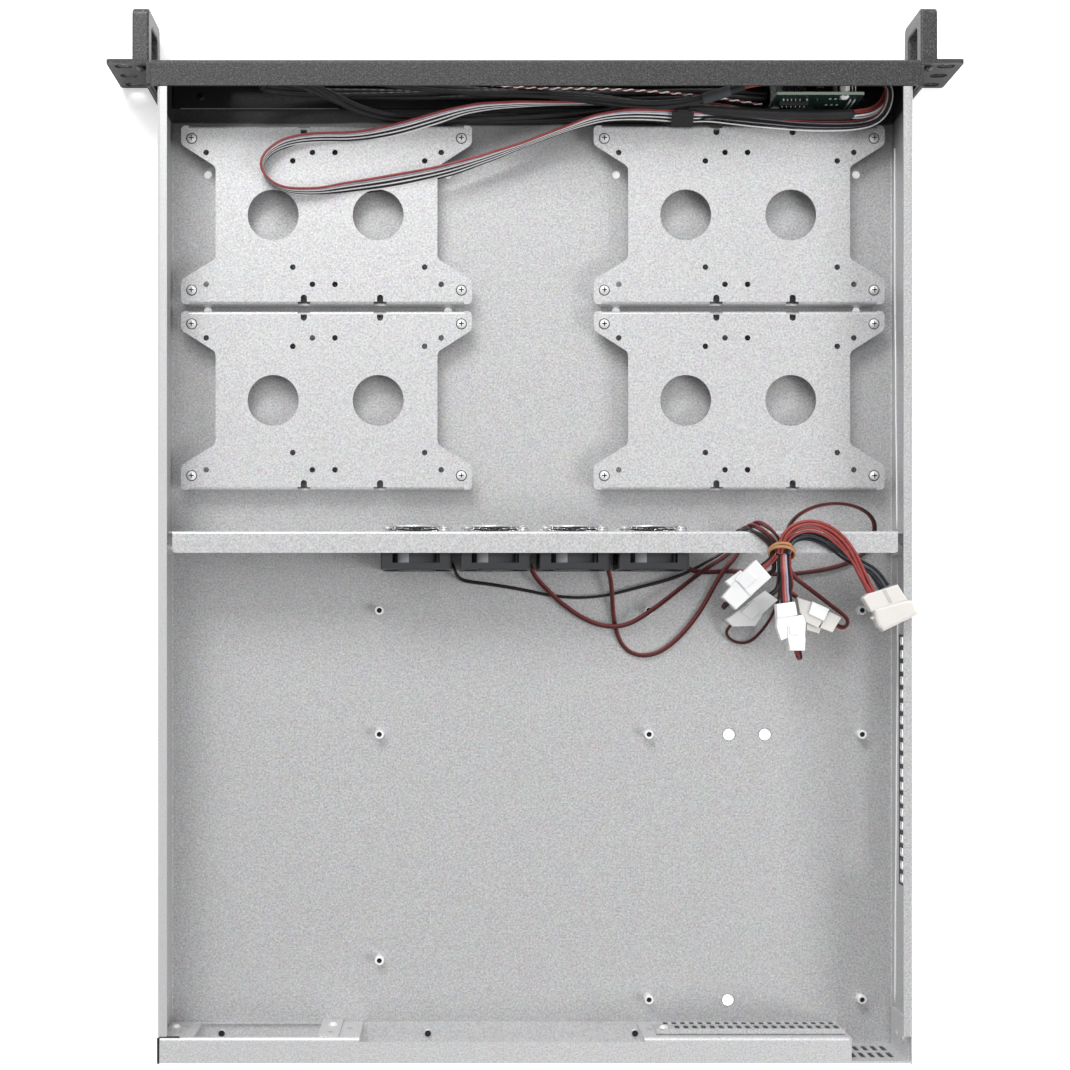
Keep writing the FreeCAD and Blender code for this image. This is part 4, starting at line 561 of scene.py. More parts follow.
RIBBON = [(-188.4, 12.0, 27.0), (-196.8, 10.4, 27.6), (-202.6, 15.6, 26.6), (-202.2, 24.0, 24.0), (-196.2, 29.0, 21.4),
          (-186.0, 30.6, 19.4), (-170.0, 30.8, 18.6), (-154.0, 30.2, 18.2), (-138.0, 28.6, 18.0), (-118.0, 26.4, 17.4),
          (-98.0, 24.6, 17.0), (-86.8, 24.8, 16.6), (-72.0, 23.2, 15.6), (-54.0, 22.6, 15.0), (-37.0, 24.4, 14.8),
          (-17.0, 31.4, 15.4), (4.0, 39.2, 15.0), (25.2, 46.9, 14.4), (50.0, 54.8, 14.0), (79.4, 61.0, 13.9),
          (105.0, 64.6, 13.9), (126.0, 67.4, 14.4), (143.6, 66.8, 16.0), (154.0, 60.8, 17.4), (157.8, 52.0, 17.6),
          (152.6, 43.8, 17.0), (141.6, 38.0, 15.8), (125.0, 35.6, 14.6), (103.0, 35.8, 14.0), (79.0, 31.6, 14.2),
          (57.0, 25.2, 14.8), (36.0, 18.6, 14.8), (10.0, 15.6, 12.4), (-18.0, 14.2, 9.8), (-48.0, 13.6, 7.2),
          (-78.0, 12.8, 6.4), (-104.0, 13.8, 6.6), (-122.0, 17.4, 8.4), (-136.0, 21.9, 11.8), (-148.0, 23.4, 15.6)]
BLACK_1 = [(-135.8, 11.6, 12.0), (-122.0, 9.4, 9.0), (-100.0, 7.8, 6.8), (-68.0, 8.2, 7.0), (-34.0, 7.7, 6.5), (0.0, 8.3, 6.3),
           (34.0, 7.7, 6.5), (68.0, 8.2, 7.2), (98.0, 7.8, 7.0), (124.0, 8.2, 8.8), (144.0, 7.7, 12.6), (156.5, 8.2, 20.5),
           (155.6, 8.0, 30.0), (143.5, 8.6, 35.4), (129.0, 10.6, 32.6), (115.4, 15.6, 24.6), (101.0, 19.8, 15.6),
           (83.0, 22.6, 8.4), (60.0, 22.9, 4.9), (30.0, 21.6, 4.6), (-4.0, 21.2, 4.7), (-34.0, 19.8, 6.6), (-58.0, 18.0, 9.8),
           (-80.0, 18.0, 14.2), (-100.0, 20.4, 18.2), (-120.0, 22.8, 21.0), (-141.0, 24.4, 22.2), (-164.0, 24.9, 22.2),
           (-184.0, 24.4, 22.4), (-195.0, 22.4, 22.2), (-202.0, 15.6, 21.6), (-203.6, 7.0, 20.4)]
BLACK_2 = [(-135.6, 9.0, 31.4), (-123.0, 9.8, 29.9), (-107.0, 14.0, 26.8), (-90.0, 18.3, 23.0), (-71.0, 18.6, 19.4),
           (-54.0, 16.8, 17.6), (-36.0, 14.0, 17.0), (-16.0, 12.2, 17.2), (8.0, 10.6, 18.2), (30.0, 10.2, 17.8), (50.0, 9.0, 19.0),
           (68.0, 7.9, 22.0), (84.0, 7.2, 26.6), (98.0, 7.4, 31.6), (110.0, 8.2, 34.6), (120.4, 8.8, 35.2)]
PAIR = [(-135.8, 12.8, 20.4), (-122.0, 12.0, 18.2), (-106.0, 11.8, 17.4), (-90.0, 11.6, 19.0), (-70.0, 11.2, 21.9),
        (-47.5, 10.3, 22.8), (-24.0, 9.7, 22.6), (-3.6, 9.9, 23.2), (20.0, 9.0, 25.2), (42.0, 7.8, 28.8), (60.0, 6.9, 33.2),
        (76.0, 6.4, 36.8), (92.0, 6.6, 38.6), (104.0, 7.0, 38.9)]


# ------------------------------------------------------------------ connector bodies
def prism(build, outline, z, thick, mat, axis=None, slope=0.0, ease=0.45, lift=0.0):
    """A moulded block from its outline in plan (x, v in mm), leaning along its axis, with eased edges."""
    n = len(outline)
    cx = sum(q[0] for q in outline) / n
    cv = sum(q[1] for q in outline) / n
    area_ = sum(outline[i][0] * outline[(i + 1) % n][1] - outline[(i + 1) % n][0] * outline[i][1] for i in range(n))
    pts = outline if area_ > 0 else outline[::-1]
    rings = []
    for h, inset in ((-thick / 2, ease), (-thick / 2 + ease, 0.0), (thick / 2 - ease, 0.0), (thick / 2 - ease * 0.3, ease * 0.35), (thick / 2, ease)):
        ring = []
        for i in range(n):
            a_, b_, c_ = (Vector(pts[(i + k) % n]) for k in (-1, 0, 1))
            d1, d2 = (b_ - a_).normalized(), (c_ - b_).normalized()
            n1, n2 = Vector((-d1.y, d1.x)), Vector((-d2.y, d2.x))
            m_ = (n1 + n2)
            m_ = m_ / max(0.35, m_.dot(n1)) if m_.length > 1e-6 else n1
            q = b_ + m_ * inset
            zz = z + h + lift
            if axis:
                zz += slope * ((q.x - axis[0]) * axis[2] + (q.y - axis[1]) * axis[3])
            ring.append(mm(q.x, q.y, zz))
        rings.append(ring)
    build.rings(rings, mat, smooth=False)


def leaning(k):
    """Middle, plan direction and slope of a mated connector pair."""
    (x0, v0, z0), (x1, v1, z1) = CONN[k]
    d = math.hypot(x1 - x0, v1 - v0)
    return ((x0 + x1) / 2, (v0 + v1) / 2, (x1 - x0) / d, (v1 - v0) / d), (z1 - z0) / d, (z0 + z1) / 2


CONN = {1: ((-127.2, 286.5, 42.0), (-110.9, 305.4, 28.4)), 2: ((-134.9, 300.7, 27.0), (-117.1, 316.3, 11.1)),
        3: ((-143.3, 305.4, 34.0), (-150.9, 332.6, 29.9)), 4: ((-151.4, 301.8, 22.0), (-174.8, 317.6, 17.7))}
b = Build()
ax_, sl_, z_ = leaning(1)
prism(b, [(-123.7, 281.7), (-132.4, 291.3), (-121.9, 301.7), (-113.2, 292.6)], z_, 8.6, 0, ax_, sl_)
prism(b, [(-116.2, 287.2), (-120.7, 292.0), (-113.4, 298.5), (-108.3, 293.4)], z_, 6.8, 0, ax_, sl_, lift=-0.4)
prism(b, [(-114.8, 291.5), (-123.4, 300.6), (-114.8, 309.3), (-107.0, 302.1)], z_, 7.6, 0, ax_, sl_, lift=-0.2)
prism(b, [(-119.8, 287.0), (-124.9, 292.2), (-118.8, 298.1), (-114.3, 293.2)], z_, 1.0, 0, ax_, sl_, lift=4.2)
conn_a = b.make("connector_shell_a", [M["nylon_a"]], replaces=["fan_connector_1"])
b = Build()
ax_, sl_, z_ = leaning(2)
prism(b, [(-131.5, 298.2), (-138.8, 303.7), (-130.0, 312.8), (-122.6, 305.4)], z_, 8.0, 0, ax_, sl_)
prism(b, [(-124.0, 304.9), (-131.4, 312.3), (-128.0, 318.5), (-115.8, 318.7), (-112.1, 314.7)], z_, 7.2, 0, ax_, sl_)
prism(b, [(-125.8, 303.7), (-131.7, 309.1), (-125.8, 315.1), (-119.4, 310.5)], z_, 0.9, 0, ax_, sl_, lift=4.0)
conn_b = b.make("connector_shell_b", [M["nylon_b"]], replaces=["fan_connector_2"])
b = Build()
ax_, sl_, z_ = leaning(3)
prism(b, [(-136.8, 306.2), (-147.2, 304.8), (-148.8, 312.4), (-137.4, 314.1)], z_, 8.6, 0, ax_, sl_)
prism(b, [(-137.4, 313.5), (-151.9, 312.4), (-153.9, 316.6), (-153.6, 325.4), (-150.5, 325.6), (-150.2, 318.4), (-143.3, 318.8), (-143.6, 325.4), (-140.0, 326.9), (-137.4, 319.7)], z_, 5.6, 0, ax_, sl_, lift=0.6)
prism(b, [(-143.4, 318.4), (-151.2, 317.7), (-153.9, 325.4), (-153.8, 332.6), (-145.3, 332.6), (-143.8, 325.4)], z_, 7.2, 0, ax_, sl_)
prism(b, [(-144.5, 318.4), (-149.8, 318.0), (-150.1, 323.4), (-144.9, 323.7)], z_, 1.0, 0, ax_, sl_, lift=4.1)
conn_c = b.make("connector_shell_c", [M["nylon_a"]], replaces=["fan_connector_3"])
b = Build()
ax_, sl_, z_ = leaning(4)
prism(b, [(-150.6, 301.9), (-160.1, 305.0), (-169.0, 309.1), (-165.6, 316.4), (-163.3, 319.7), (-156.2, 316.4), (-152.4, 310.5)], z_, 7.8, 0, ax_, sl_)
prism(b, [(-159.6, 304.5), (-169.7, 308.8), (-166.5, 315.7), (-157.4, 311.6)], z_, 2.0, 1, ax_, sl_, lift=4.4)
prism(b, [(-166.5, 314.8), (-169.9, 310.0), (-177.2, 313.7), (-172.0, 322.3), (-164.8, 319.6)], z_, 7.0, 0, ax_, sl_)
prism(b, [(-156.6, 315.0), (-165.8, 319.2), (-164.7, 322.9), (-157.2, 320.8)], z_, 4.6, 0, ax_, sl_, lift=-0.8)
conn_d = b.make("connector_shell_d", [M["nylon_d"], M["nylon_a"]], replaces=["fan_connector_4"])
b = Build()
prism(b, [(-182.3, 303.1), (-185.1, 300.7), (-201.8, 295.6), (-207.1, 304.3), (-189.5, 310.9), (-186.7, 310.9)], 48.4, 7.6, 0, ease=0.9)
prism(b, [(-188.1, 309.3), (-206.1, 304.3), (-209.7, 304.6), (-213.3, 312.1), (-193.5, 321.8), (-190.5, 319.0), (-189.2, 315.2)], 48.7, 8.8, 0, ease=1.5)
# a slot in the plug's top, shown as a thin darker strip: painted shade
prism(b, [(-193.0, 298.9), (-195.0, 298.4), (-198.6, 305.6), (-196.8, 306.3)], 52.1, 0.5, 1, ease=0.15)
prism(b, [(-187.0, 314.0), (-189.4, 313.1), (-190.2, 315.2), (-187.8, 315.4)], 48.4, 4.0, 0, ease=0.5)
for k in range(4):
    # crimp holes in the far face, shown as shallow darker discs: painted shade
    f = (k + 0.5) / 4.0
    b.lathe(mm(-214.17 + (19.90) * f, 311.73 + (9.70) * f, 48.6), (-0.438, 0.899, 0), [(0.0, -0.0006), (0.0016, -0.0006), (0.0016, 0.00015), (0.0, 0.0)], 1, 14)
plug = b.make("power_plug_shell", [M["ivory"], M["plug_shade"]], replaces=["power_plug"])


# ------------------------------------------------------------------ fan leads: a red and a black wire each
def pair_offsets(angle_keys, r, seed):
    wob = wavy(seed, 0.35)
    def one(sign):
        def off(s, f):
            a = math.radians(keyed(angle_keys, f)) + wob(s)
            return (sign * r * math.cos(a), sign * r * math.sin(a))
        return off
    return one(1.0), one(-1.0)


LEAD_KEYS = {
    1: [(0.0, 80.0), (0.45, 100.0), (0.62, 60.0), (0.80, 150.0), (1.0, 200.0)],
    2: [(0.0, 20.0), (0.2, -30.0), (0.4, 25.0), (0.6, 60.0), (0.8, 95.0), (1.0, 100.0)],
    3: [(0.0, 10.0), (0.2, 35.0), (0.4, -25.0), (0.6, 40.0), (0.8, 120.0), (1.0, 180.0)],
    4: [(0.0, 30.0), (0.2, 50.0), (0.4, 20.0), (0.55, 70.0), (0.8, 20.0), (1.0, 40.0)],
}
for k, pts in enumerate((LEAD_1, LEAD_2, LEAD_3, LEAD_4), 1):
    line = nurbs_line(route(pts), 9)
    b = Build()
    first, second = pair_offsets(LEAD_KEYS[k], 0.00064, 10 + k)
    strands(b, line, [(0.00076, 1, first), (0.00076, 0, second)], 10)
    o = b.make("lead_%d_wires" % k, [M["maroon"] if k == 1 else M["lead_red"], M["blk"] if k == 1 else M["maroon"]], replaces=["fan_lead_%d" % k])


# ------------------------------------------------------------------ harness
def fixed(side, up):
    return lambda s, f: (side, up)


def keys2(*keys):
    ks = [(p, (a / 1000.0, b / 1000.0)) for p, a, b in keys]
    return lambda s, f: keyed(ks, f)


power_red = nurbs_line(route(POWER_RED), 12)
b = Build()
strands(b, power_red, [
    (0.00088, 0, keys2((0, -1.0, 0.7), (0.25, -2.6, 0.3), (0.55, -2.2, 0.5), (0.8, -1.4, 0.9), (1, -1.5, 0.7))),
    (0.00088, 0, keys2((0, 0.9, 0.8), (0.25, -0.8, 1.1), (0.55, -0.3, 1.2), (0.8, 0.5, 0.9), (1, 1.2, 0.7))),
    (0.00088, 0, keys2((0, 0.7, -0.9), (0.25, 1.1, 0.3), (0.55, 1.7, 0.4), (0.8, 1.9, -0.6), (1, 1.2, -0.9))),
    (0.00088, 1, keys2((0, -1.0, -0.9), (0.25, -0.9, -0.8), (0.55, -0.2, -0.8), (0.8, -0.3, -1.0), (1, -1.4, -0.9))),
    (0.00075, 0, keys2((0, 2.2, -0.2), (0.2, 3.0, -0.5), (0.5, 3.3, -0.6), (0.8, 1.9, 0.9), (1, 0.0, 1.3))),
], 12)
red_obj = b.make("power_red_wires", [M["red"], M["dark_red"]], replaces=["power_cable_red"])

power_black = nurbs_line(route(POWER_BLACK), 12)
b = Build()
strands(b, power_black, [
    (0.00085, 0, keys2((0, -1.0, 0.6), (0.3, -1.9, 0.7), (0.6, -1.9, 0.6), (1, -2.4, 0.4))),
    (0.00085, 1, keys2((0, 0.8, 0.8), (0.3, 0.0, 1.0), (0.6, 0.1, 0.9), (1, -0.6, 0.8))),
    (0.00085, 0, keys2((0, 0.9, -0.9), (0.3, 1.8, 0.4), (0.6, 1.9, 0.3), (1, 1.0, 0.5))),
    (0.00085, 0, keys2((0, -0.9, -0.9), (0.3, 0.2, -0.8), (0.6, -0.6, -0.8), (1, 2.4, -0.2))),
], 12)
black_obj = b.make("power_black_wires", [M["blk"], M["blue"]], replaces=["power_cable_black"])

LEGS = {
    1: (LEG_1, [(0.7, 0, (-1.4, 0.2), (-1.2, 0.0)), (0.7, 0, (0.1, 0.5), (0.4, 0.4)), (0.7, 1, (1.3, -0.3), (1.6, -0.3))]),
    2: (LEG_2, [(0.7, 2, (-0.7, 0.2), (-0.8, 0.2)), (0.7, 1, (0.8, 0.0), (0.8, 0.0))]),
    3: (LEG_3, [(0.7, 1, (-1.8, 0.2), (-2.6, 0.0)), (0.7, 3, (-0.6, 0.5), (-1.0, 0.3)), (0.7, 4, (0.5, 0.4), (0.4, 0.3)), (0.7, 0, (1.4, 0.1), (1.6, 0.1)), (0.7, 1, (1.9, -0.8), (2.8, -0.2))]),
    4: (LEG_4, [(0.7, 0, (-0.6, 0.3), (-0.6, 0.2)), (0.7, 1, (0.7, -0.2), (0.7, -0.2))]),
}
leg_obj, leg_line = {}, {}
for k, (pts, wires) in LEGS.items():
    line = nurbs_line(route(pts), 12)
    b = Build()
    strands(b, line, [(r / 1000.0, m, keys2((0, *a), (1, *c))) for r, m, a, c in wires], 10)
    leg_obj[k] = b.make("leg_%d_wires" % k, [M["red"], M["blk"], M["brown"], M["lav"], M["pink"]], replaces=["harness_leg_%d" % k])
    leg_line[k] = line

# ------------------------------------------------------------------ ribbon cable
# the visible end turns forward under the front channel's top, a few millimetres off the tube
RIBBON_SEEN = [(-195.4, 4.8, 27.4), (-202.8, 8.0, 27.6), (-204.6, 15.6, 26.6)] + RIBBON[3:]
ribbon_line = nurbs_line(route(RIBBON_SEEN), 8)
n_ctrl = len(RIBBON)
CLAMP = 11.0
# angle of the black-to-red direction above the horizontal, seen along the cable, by route point
TURN = [(0, 90), (6, 110), (9, 130), (11, 124), (12.5, 120), (14, 107), (15, 94), (16, 92), (17, 106), (18, 123), (19, 138), (20, 127),
        (21, 106), (22.5, 92), (24, 90), (25, 84), (26, 73), (27, 66), (28, 62), (29, 52), (30, 54), (31, 74), (31.8, 84), (33, 96), (36, 98), (39, 92)]
# painted shade, in part: the black conductors set between the white ones also stand for the shade in the grooves
# between round conductors
COND = [0, 3, 1, 4, 1, 4, 1, 4]            # colours across, from the marked edge
PITCH, CR = 0.00122, 0.00054
fr = []
prev = None
for i, p in enumerate(ribbon_line):
    a, c = ribbon_line[max(0, i - 1)], ribbon_line[min(len(ribbon_line) - 1, i + 1)]
    t = (c - a).normalized()
    h = Vector((0, 0, 1)).cross(t).normalized()
    u = t.cross(h)
    fr.append((t, h, u))
idx_of = [i / (len(ribbon_line) - 1) * (n_ctrl - 2) + 0.5 for i in range(len(ribbon_line))]
b = Build()
nc = len(COND)
loose_wobble = [(wavy(100 + j, 0.0004), wavy(200 + j, 0.0004)) for j in range(nc)]
LOOSE_LAY = [(3.2, -1.0), (2.4, -1.8), (1.5, -1.2), (1.2, 0.2), (0.3, -1.6), (0.2, 0.0), (-2.3, 0.0), (-1.1, -0.1)]
s_r = measure(ribbon_line)
for j, colour in enumerate(COND):
    across = ((nc - 1) / 2.0 - j) * PITCH
    pts = []
    for i, p in enumerate(ribbon_line):
        t, h, u = fr[i]
        ang = math.radians(keyed(TURN, idx_of[i]))
        w = h * math.cos(ang) + u * math.sin(ang)
        q = w * across
        loose = keyed([(CLAMP - 1.5, 1.0), (CLAMP - 0.3, 0.0)], idx_of[i])
        if loose > 0:
            spread = keyed([(0, 0.45), (2, 0.7), (6, 1.0), (8.5, 1.0), (10.5, 0.5)], idx_of[i])
            la, lb = LOOSE_LAY[j]
            own = h * (-la / 1000.0 * spread + loose_wobble[j][0](s_r[i])) + u * (lb / 1000.0 * spread + loose_wobble[j][1](s_r[i]))
            q = q.lerp(own, loose)
        pts.append(p + q)
    split = CLAMP / (n_ctrl - 1.0)
    full = 0.00072 if j == 0 else CR
    b.tube(pts, lambda f, full=full: full if f > split else 0.00040, colour, 8)
# the thin sheet joining the conductors, behind the clamp, made black as painted shade between them
web_shade = []
for i, p in enumerate(ribbon_line):
    if idx_of[i] < CLAMP - 0.3:
        continue
    t, h, u = fr[i]
    ang = math.radians(keyed(TURN, idx_of[i]))
    w = h * math.cos(ang) + u * math.sin(ang)
    n = t.cross(w)
    web_shade.append([p + w * (a * 0.0042) + n * (c_ * 0.00016) for a, c_ in ((1, 1), (-1, 1), (-1, -1), (1, -1))])
b.rings(web_shade, 5, smooth=False)
ribbon_obj = b.make("ribbon_conductors", [M["red"], M["white"], M["grey"], M["lav"], M["blk"], M["blk"]], replaces=["ribbon_cable"])

# clamp on the ribbon where its conductors part
b = Build()
ci = min(range(len(ribbon_line)), key=lambda i: abs(idx_of[i] - (CLAMP - 0.1)))
t, h, u = fr[ci]
ang = math.radians(keyed(TURN, idx_of[ci]))
w = h * math.cos(ang) + u * math.sin(ang)
turn = Matrix((t, w, t.cross(w))).transposed()
c = ribbon_line[ci]
c = c + Vector((0.0016, 0.0, 0.0))
b.box(c + turn @ Vector((0, 0, 0.0015)), (0.0126, 0.0108, 0.0018), 0, turn, 0.0005, 0.96)
b.box(c + turn @ Vector((0, 0, -0.0015)), (0.0126, 0.0108, 0.0018), 0, turn, 0.0005, 0.96)
b.box(c + turn @ Vector((-0.0028, 0.0048, 0.0026)), (0.0016, 0.0016, 0.0006), 1, turn, 0.0002)
for dx in (-0.0042, 0.0, 0.0042):
    b.box(c + turn @ Vector((dx, 0, 0.0026)), (0.0014, 0.0092, 0.0006), 0, turn, 0.0002)
b.box(c + turn @ Vector((0.0, 0.0060, 0)), (0.0070, 0.0016, 0.0040), 0, turn, 0.0003)
clamp = b.make("ribbon_clamp", [M["black"], M["solder"]])


# ------------------------------------------------------------------ sheathed cables
def lay3(seed, r, turns):
    out = []
    for q in range(3):
        wa, wb = wavy(seed + q, 0.0007), wavy(seed + 7 + q, 0.0005)
        ph = 2 * math.pi * q / 3
        out.append((lambda ph, wa, wb: (lambda s, f: (r * math.cos(ph + turns * 6.283 * f) + wa(s), r * 0.8 * math.sin(ph + turns * 6.283 * f) + wb(s))))(ph, wa, wb))
    return out


def part_strands(build, line, span, wires, sides=10):
    """Wires laid along part of a line: span is the first and last fraction of its length."""
    fr_, s_ = frames(line), measure(line)
    keep = [i for i in range(len(line)) if span[0] <= s_[i] / s_[-1] <= span[1]]
    for r, mat, off in wires:
        pts = []
        for i in keep:
            f = (s_[i] / s_[-1] - span[0]) / (span[1] - span[0])
            a_, b_ = off(s_[i], f)
            pts.append(line[i] + fr_[i][2] * a_ + fr_[i][1] * b_)
        build.tube(pts, r, mat, sides)


SHEATH_MATS = [M["sheath"], M["red"], M["white"], M["grey"], M["blk"], M["grey_tape"], M["dark_red"]]
line_b1 = nurbs_line(route(BLACK_1), 8)
s_ = measure(line_b1)
cut = min((i for i in range(len(line_b1)) if s_[i] > 0.8 * s_[-1]), key=lambda i: abs(line_b1[i].x + 0.1848))
f1 = s_[cut] / s_[-1]
b = Build()
offs = lay3(31, 0.0019, 1.5)
part_strands(b, line_b1, (0.0, 0.80), [(0.00155, 0, o) for o in offs], 12)
part_strands(b, line_b1, (0.79, f1), [(lambda f: 0.0026 + 0.0003 * min(1.0, f * 4) - (0.0006 if f > 0.985 else 0.0), 0, lambda s, f: (0.0, 0.0))], 16)
part_strands(b, line_b1, (f1 - 0.012, 1.0), [
    (0.00075, 1, keys2((0, -0.6, 1.2), (0.3, -1.4, 1.2), (0.7, -1.0, 0.8), (1, -0.6, 0.6))),
    (0.00072, 6, keys2((0, -1.6, 0.4), (0.3, -0.2, 1.0), (0.7, 0.6, 0.6), (1, 0.4, 0.4))),
    (0.00060, 2, keys2((0, 1.6, 0.4), (0.3, 1.5, 0.8), (0.7, 2.0, 0.4), (1, 1.2, 0.2))),
    (0.00060, 3, keys2((0, 0.6, -0.6), (0.3, 2.8, 0.0), (0.7, 2.9, 0.0), (1, 1.8, -0.2))),
    (0.00065, 4, keys2((0, 0.0, -1.2), (0.5, 0.6, -1.0), (1, 0.0, -0.8)))], 8)
black1 = b.make("black_cable_a", SHEATH_MATS, replaces=["black_cable_1"])

line_b2 = nurbs_line(route(BLACK_2), 12)
s_ = measure(line_b2)
cut = min(range(len(line_b2)), key=lambda i: abs(line_b2[i].x + 0.1205))
f2 = s_[cut] / s_[-1]
t0 = s_[min(range(len(line_b2)), key=lambda i: abs(line_b2[i].x + 0.1125))] / s_[-1]
t1 = s_[min(range(len(line_b2)), key=lambda i: abs(line_b2[i].x + 0.0965))] / s_[-1]
b = Build()
offs = lay3(57, 0.0016, 1.0)
part_strands(b, line_b2, (t1 - 0.02, 1.0), [(0.00150, 0, o) for o in offs], 12)
part_strands(b, line_b2, (f2, t1), [(0.00245, 0, lambda s, f: (0.0, 0.0))], 14)
part_strands(b, line_b2, (t0, t1), [(lambda f: 0.0031 - (0.0003 if f < 0.06 or f > 0.94 else 0.0), 5, lambda s, f: (0.0, 0.0))], 16)
part_strands(b, line_b2, (0.0, f2 + 0.02), [
    (0.00085, 2, keys2((0, 0.7, 0.9), (1, 0.7, 0.9))), (0.00085, 1, keys2((0, -0.8, 0.6), (1, -0.8, 0.6))),
    (0.00080, 4, keys2((0, 0.0, -0.7), (1, 0.0, -0.7)))], 10)
black2 = b.make("black_cable_b", SHEATH_MATS, replaces=["black_cable_2"])

# its hidden end dips under the black cable, a few millimetres off the tube
PAIR_SEEN = [(-132.6, 16.4, 14.4), (-120.6, 14.4, 14.0), (-106.0, 12.6, 14.6), (-90.0, 11.8, 17.8)] + PAIR[4:]
pair_line = nurbs_line(route(PAIR_SEEN), 24)
b = Build()
TWIST = 6.283 / 0.0070
strands(b, pair_line, [(0.00036, 0, lambda s, f: (0.00040 * math.cos(TWIST * s), 0.00040 * math.sin(TWIST * s))),
                       (0.00033, 1, lambda s, f: (-0.00042 * math.cos(TWIST * s), -0.00042 * math.sin(TWIST * s)))], 8)
o = b.make("lamp_pair", [M["white"], M["dark_red"]], replaces=["twisted_pair"])

# ------------------------------------------------------------------ rubber band: two windings round the bundle
b = Build()
lo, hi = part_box("rubber_band")
bc = (lo + hi) / 2 if isinstance(lo, Vector) else Vector([(a + c) / 2 for a, c in zip(lo, hi)])
bc = bc - Vector((0, 0, 0.0006))
tilt = math.radians(40)
ax = Vector((0, math.cos(tilt), math.sin(tilt)))
side = Vector((1, 0, 0))
upv = side.cross(ax) * -1.0
upv = ax.cross(side)
for w_i, (shift, grow, lean) in enumerate(((-0.0008, 0.0, 0.10), (0.0009, 0.0002, -0.14))):
    ring = []
    for j in range(48):
        a = 2 * math.pi * j / 48
        rx, rz = 0.0069 + grow, 0.0060 + grow
        p = bc + side * (rx * math.cos(a)) + upv * (rz * math.sin(a)) + ax * (shift + 0.0009 * lean * 8 * math.sin(a + w_i))
        out = (side * math.cos(a) / rx + upv * math.sin(a) / rz).normalized()
        ring.append([p + out * (0.00062 * math.cos(q)) + ax * (0.00115 * math.sin(q)) for q in (2 * math.pi * m_ / 10 for m_ in range(10))])
    b.rings(ring, 0, closed=True)
b.make("band_windings", [M["band"]], replaces=["rubber_band"])

# ------------------------------------------------------------------ painted shade in bores, recesses, slots and gaps; hole rims; a painted highlight on a fold
def stick(build, points, r, mat, sides=8):
    build.tube([mm(*q) for q in points], r / 1000.0, mat, sides)


MB = [(89.4 - c, 536.6 - r - (22.86 if c == 0.0 and r == 0.0 else 0.0)) for c in (0.0, 157.48, 281.94) for r in (0.0, 154.94, 227.33)]
# painted shade: dark plugs set in the standoffs' bores for the shade inside them
b = Build()
for x, v in MB:
    b.lathe(mm(x, v, 1.9), (0, 0, 1), [(0.0, 0.0), (0.00146, 0.0), (0.00146, 0.0042), (0.0011, 0.0040), (0.0, 0.0036)], 0, 18)
b.make("standoff_bore_shade", [M["bore"]])
b = Build()
# painted shade: dark discs 3.6 mm across in the rear rivets, wider than their holes, for the shade inside them
for x, v, z in ((181.9, 557.0, 3.5), (61.1, 557.0, 3.5), (-60.2, 557.0, 3.5)):
    b.lathe(mm(x, v, z), (0, 0, 1), [(0.0, -0.0004), (0.0018, -0.0004), (0.0018, 0.00022), (0.0014, 0.00028), (0.0, 0.00012)], 0, 18)
b.make("rivet_bore_shade", [M["bore"]])
b = Build()
for x, v, r in ((-115.6, 382.0, 3.5), (-136.7, 382.0, 3.5), (-115.0, 537.8, 3.5)):
    # the punched edge of a floor hole, rolled over all round; the hole itself stays open
    ring = []
    for j in range(40):
        a = 2 * math.pi * j / 40
        out = Vector((math.cos(a), math.sin(a), 0))
        ring.append([mm(x, v, 1.2) + out * (r / 1000.0 + 0.00016 + 0.00018 * math.cos(q)) + Vector((0, 0, 0.00014 * math.sin(q))) for q in (2 * math.pi * m_ / 8 for m_ in range(8))])
    b.rings(ring, 0, closed=True)
b.make("floor_hole_rims", [M["edge_grey"]])
b = Build()
for cx, cv in ((119.8, 79.7), (-119.8, 79.7), (119.8, 187.4), (-119.8, 187.4)):
    for a in (-78.3, 78.3):
        for v in (-44.4, 43.7):
            # painted shade: dark crosses at the recess floor for the shade in the screws' cross recesses
            c = mm(cx + a, cv + v, 12.0 + 1.9 - 0.70)  # the recess floor, below the dome at the arms' tips
            b.box(c, (0.00290, 0.00086, 0.0006), 0, chamfer=0.00008)
            b.box(c, (0.00086, 0.00290, 0.0006), 0, chamfer=0.00008)
            # the dark line where the head meets the plate: a painted shadow ring round the head
            b.lathe(mm(cx + a, cv + v, 12.0), (0, 0, 1), [(0.00262, 0.0), (0.00318, 0.0), (0.00312, 0.00014), (0.00262, 0.00014)], 0, 24)
b.make("screw_recess_shade", [M["bore"]])
b = Build()
# painted shade: dark linings set in the rear slots and vents, for the shade seen through them
for i in range(20):
    x = -77.4 - i * 5.08
    if x - 1.4 > -176.6:
        b.box(mm(x, 550.6, 8.7), (0.0027, 0.0007, 0.0085), 0, chamfer=0.0003)
for i in range(19):
    b.box(mm(-77.4 - 5.08 - i * 5.08, 549.5, 25.1), (0.0027, 0.0006, 0.0145), 0, chamfer=0.0003)
for z0, z1 in ((7.5, 19.0), (23.0, 35.0)):
    for i in range(5):
        b.box(mm(-181.5 - i * 5.3, 563.8, (z0 + z1) / 2), (0.0027, 0.0007, (z1 - z0 - 1.0) / 1000.0), 0, chamfer=0.0003)
b.make("rear_slot_shade", [M["slot_dark"]])
b = Build()
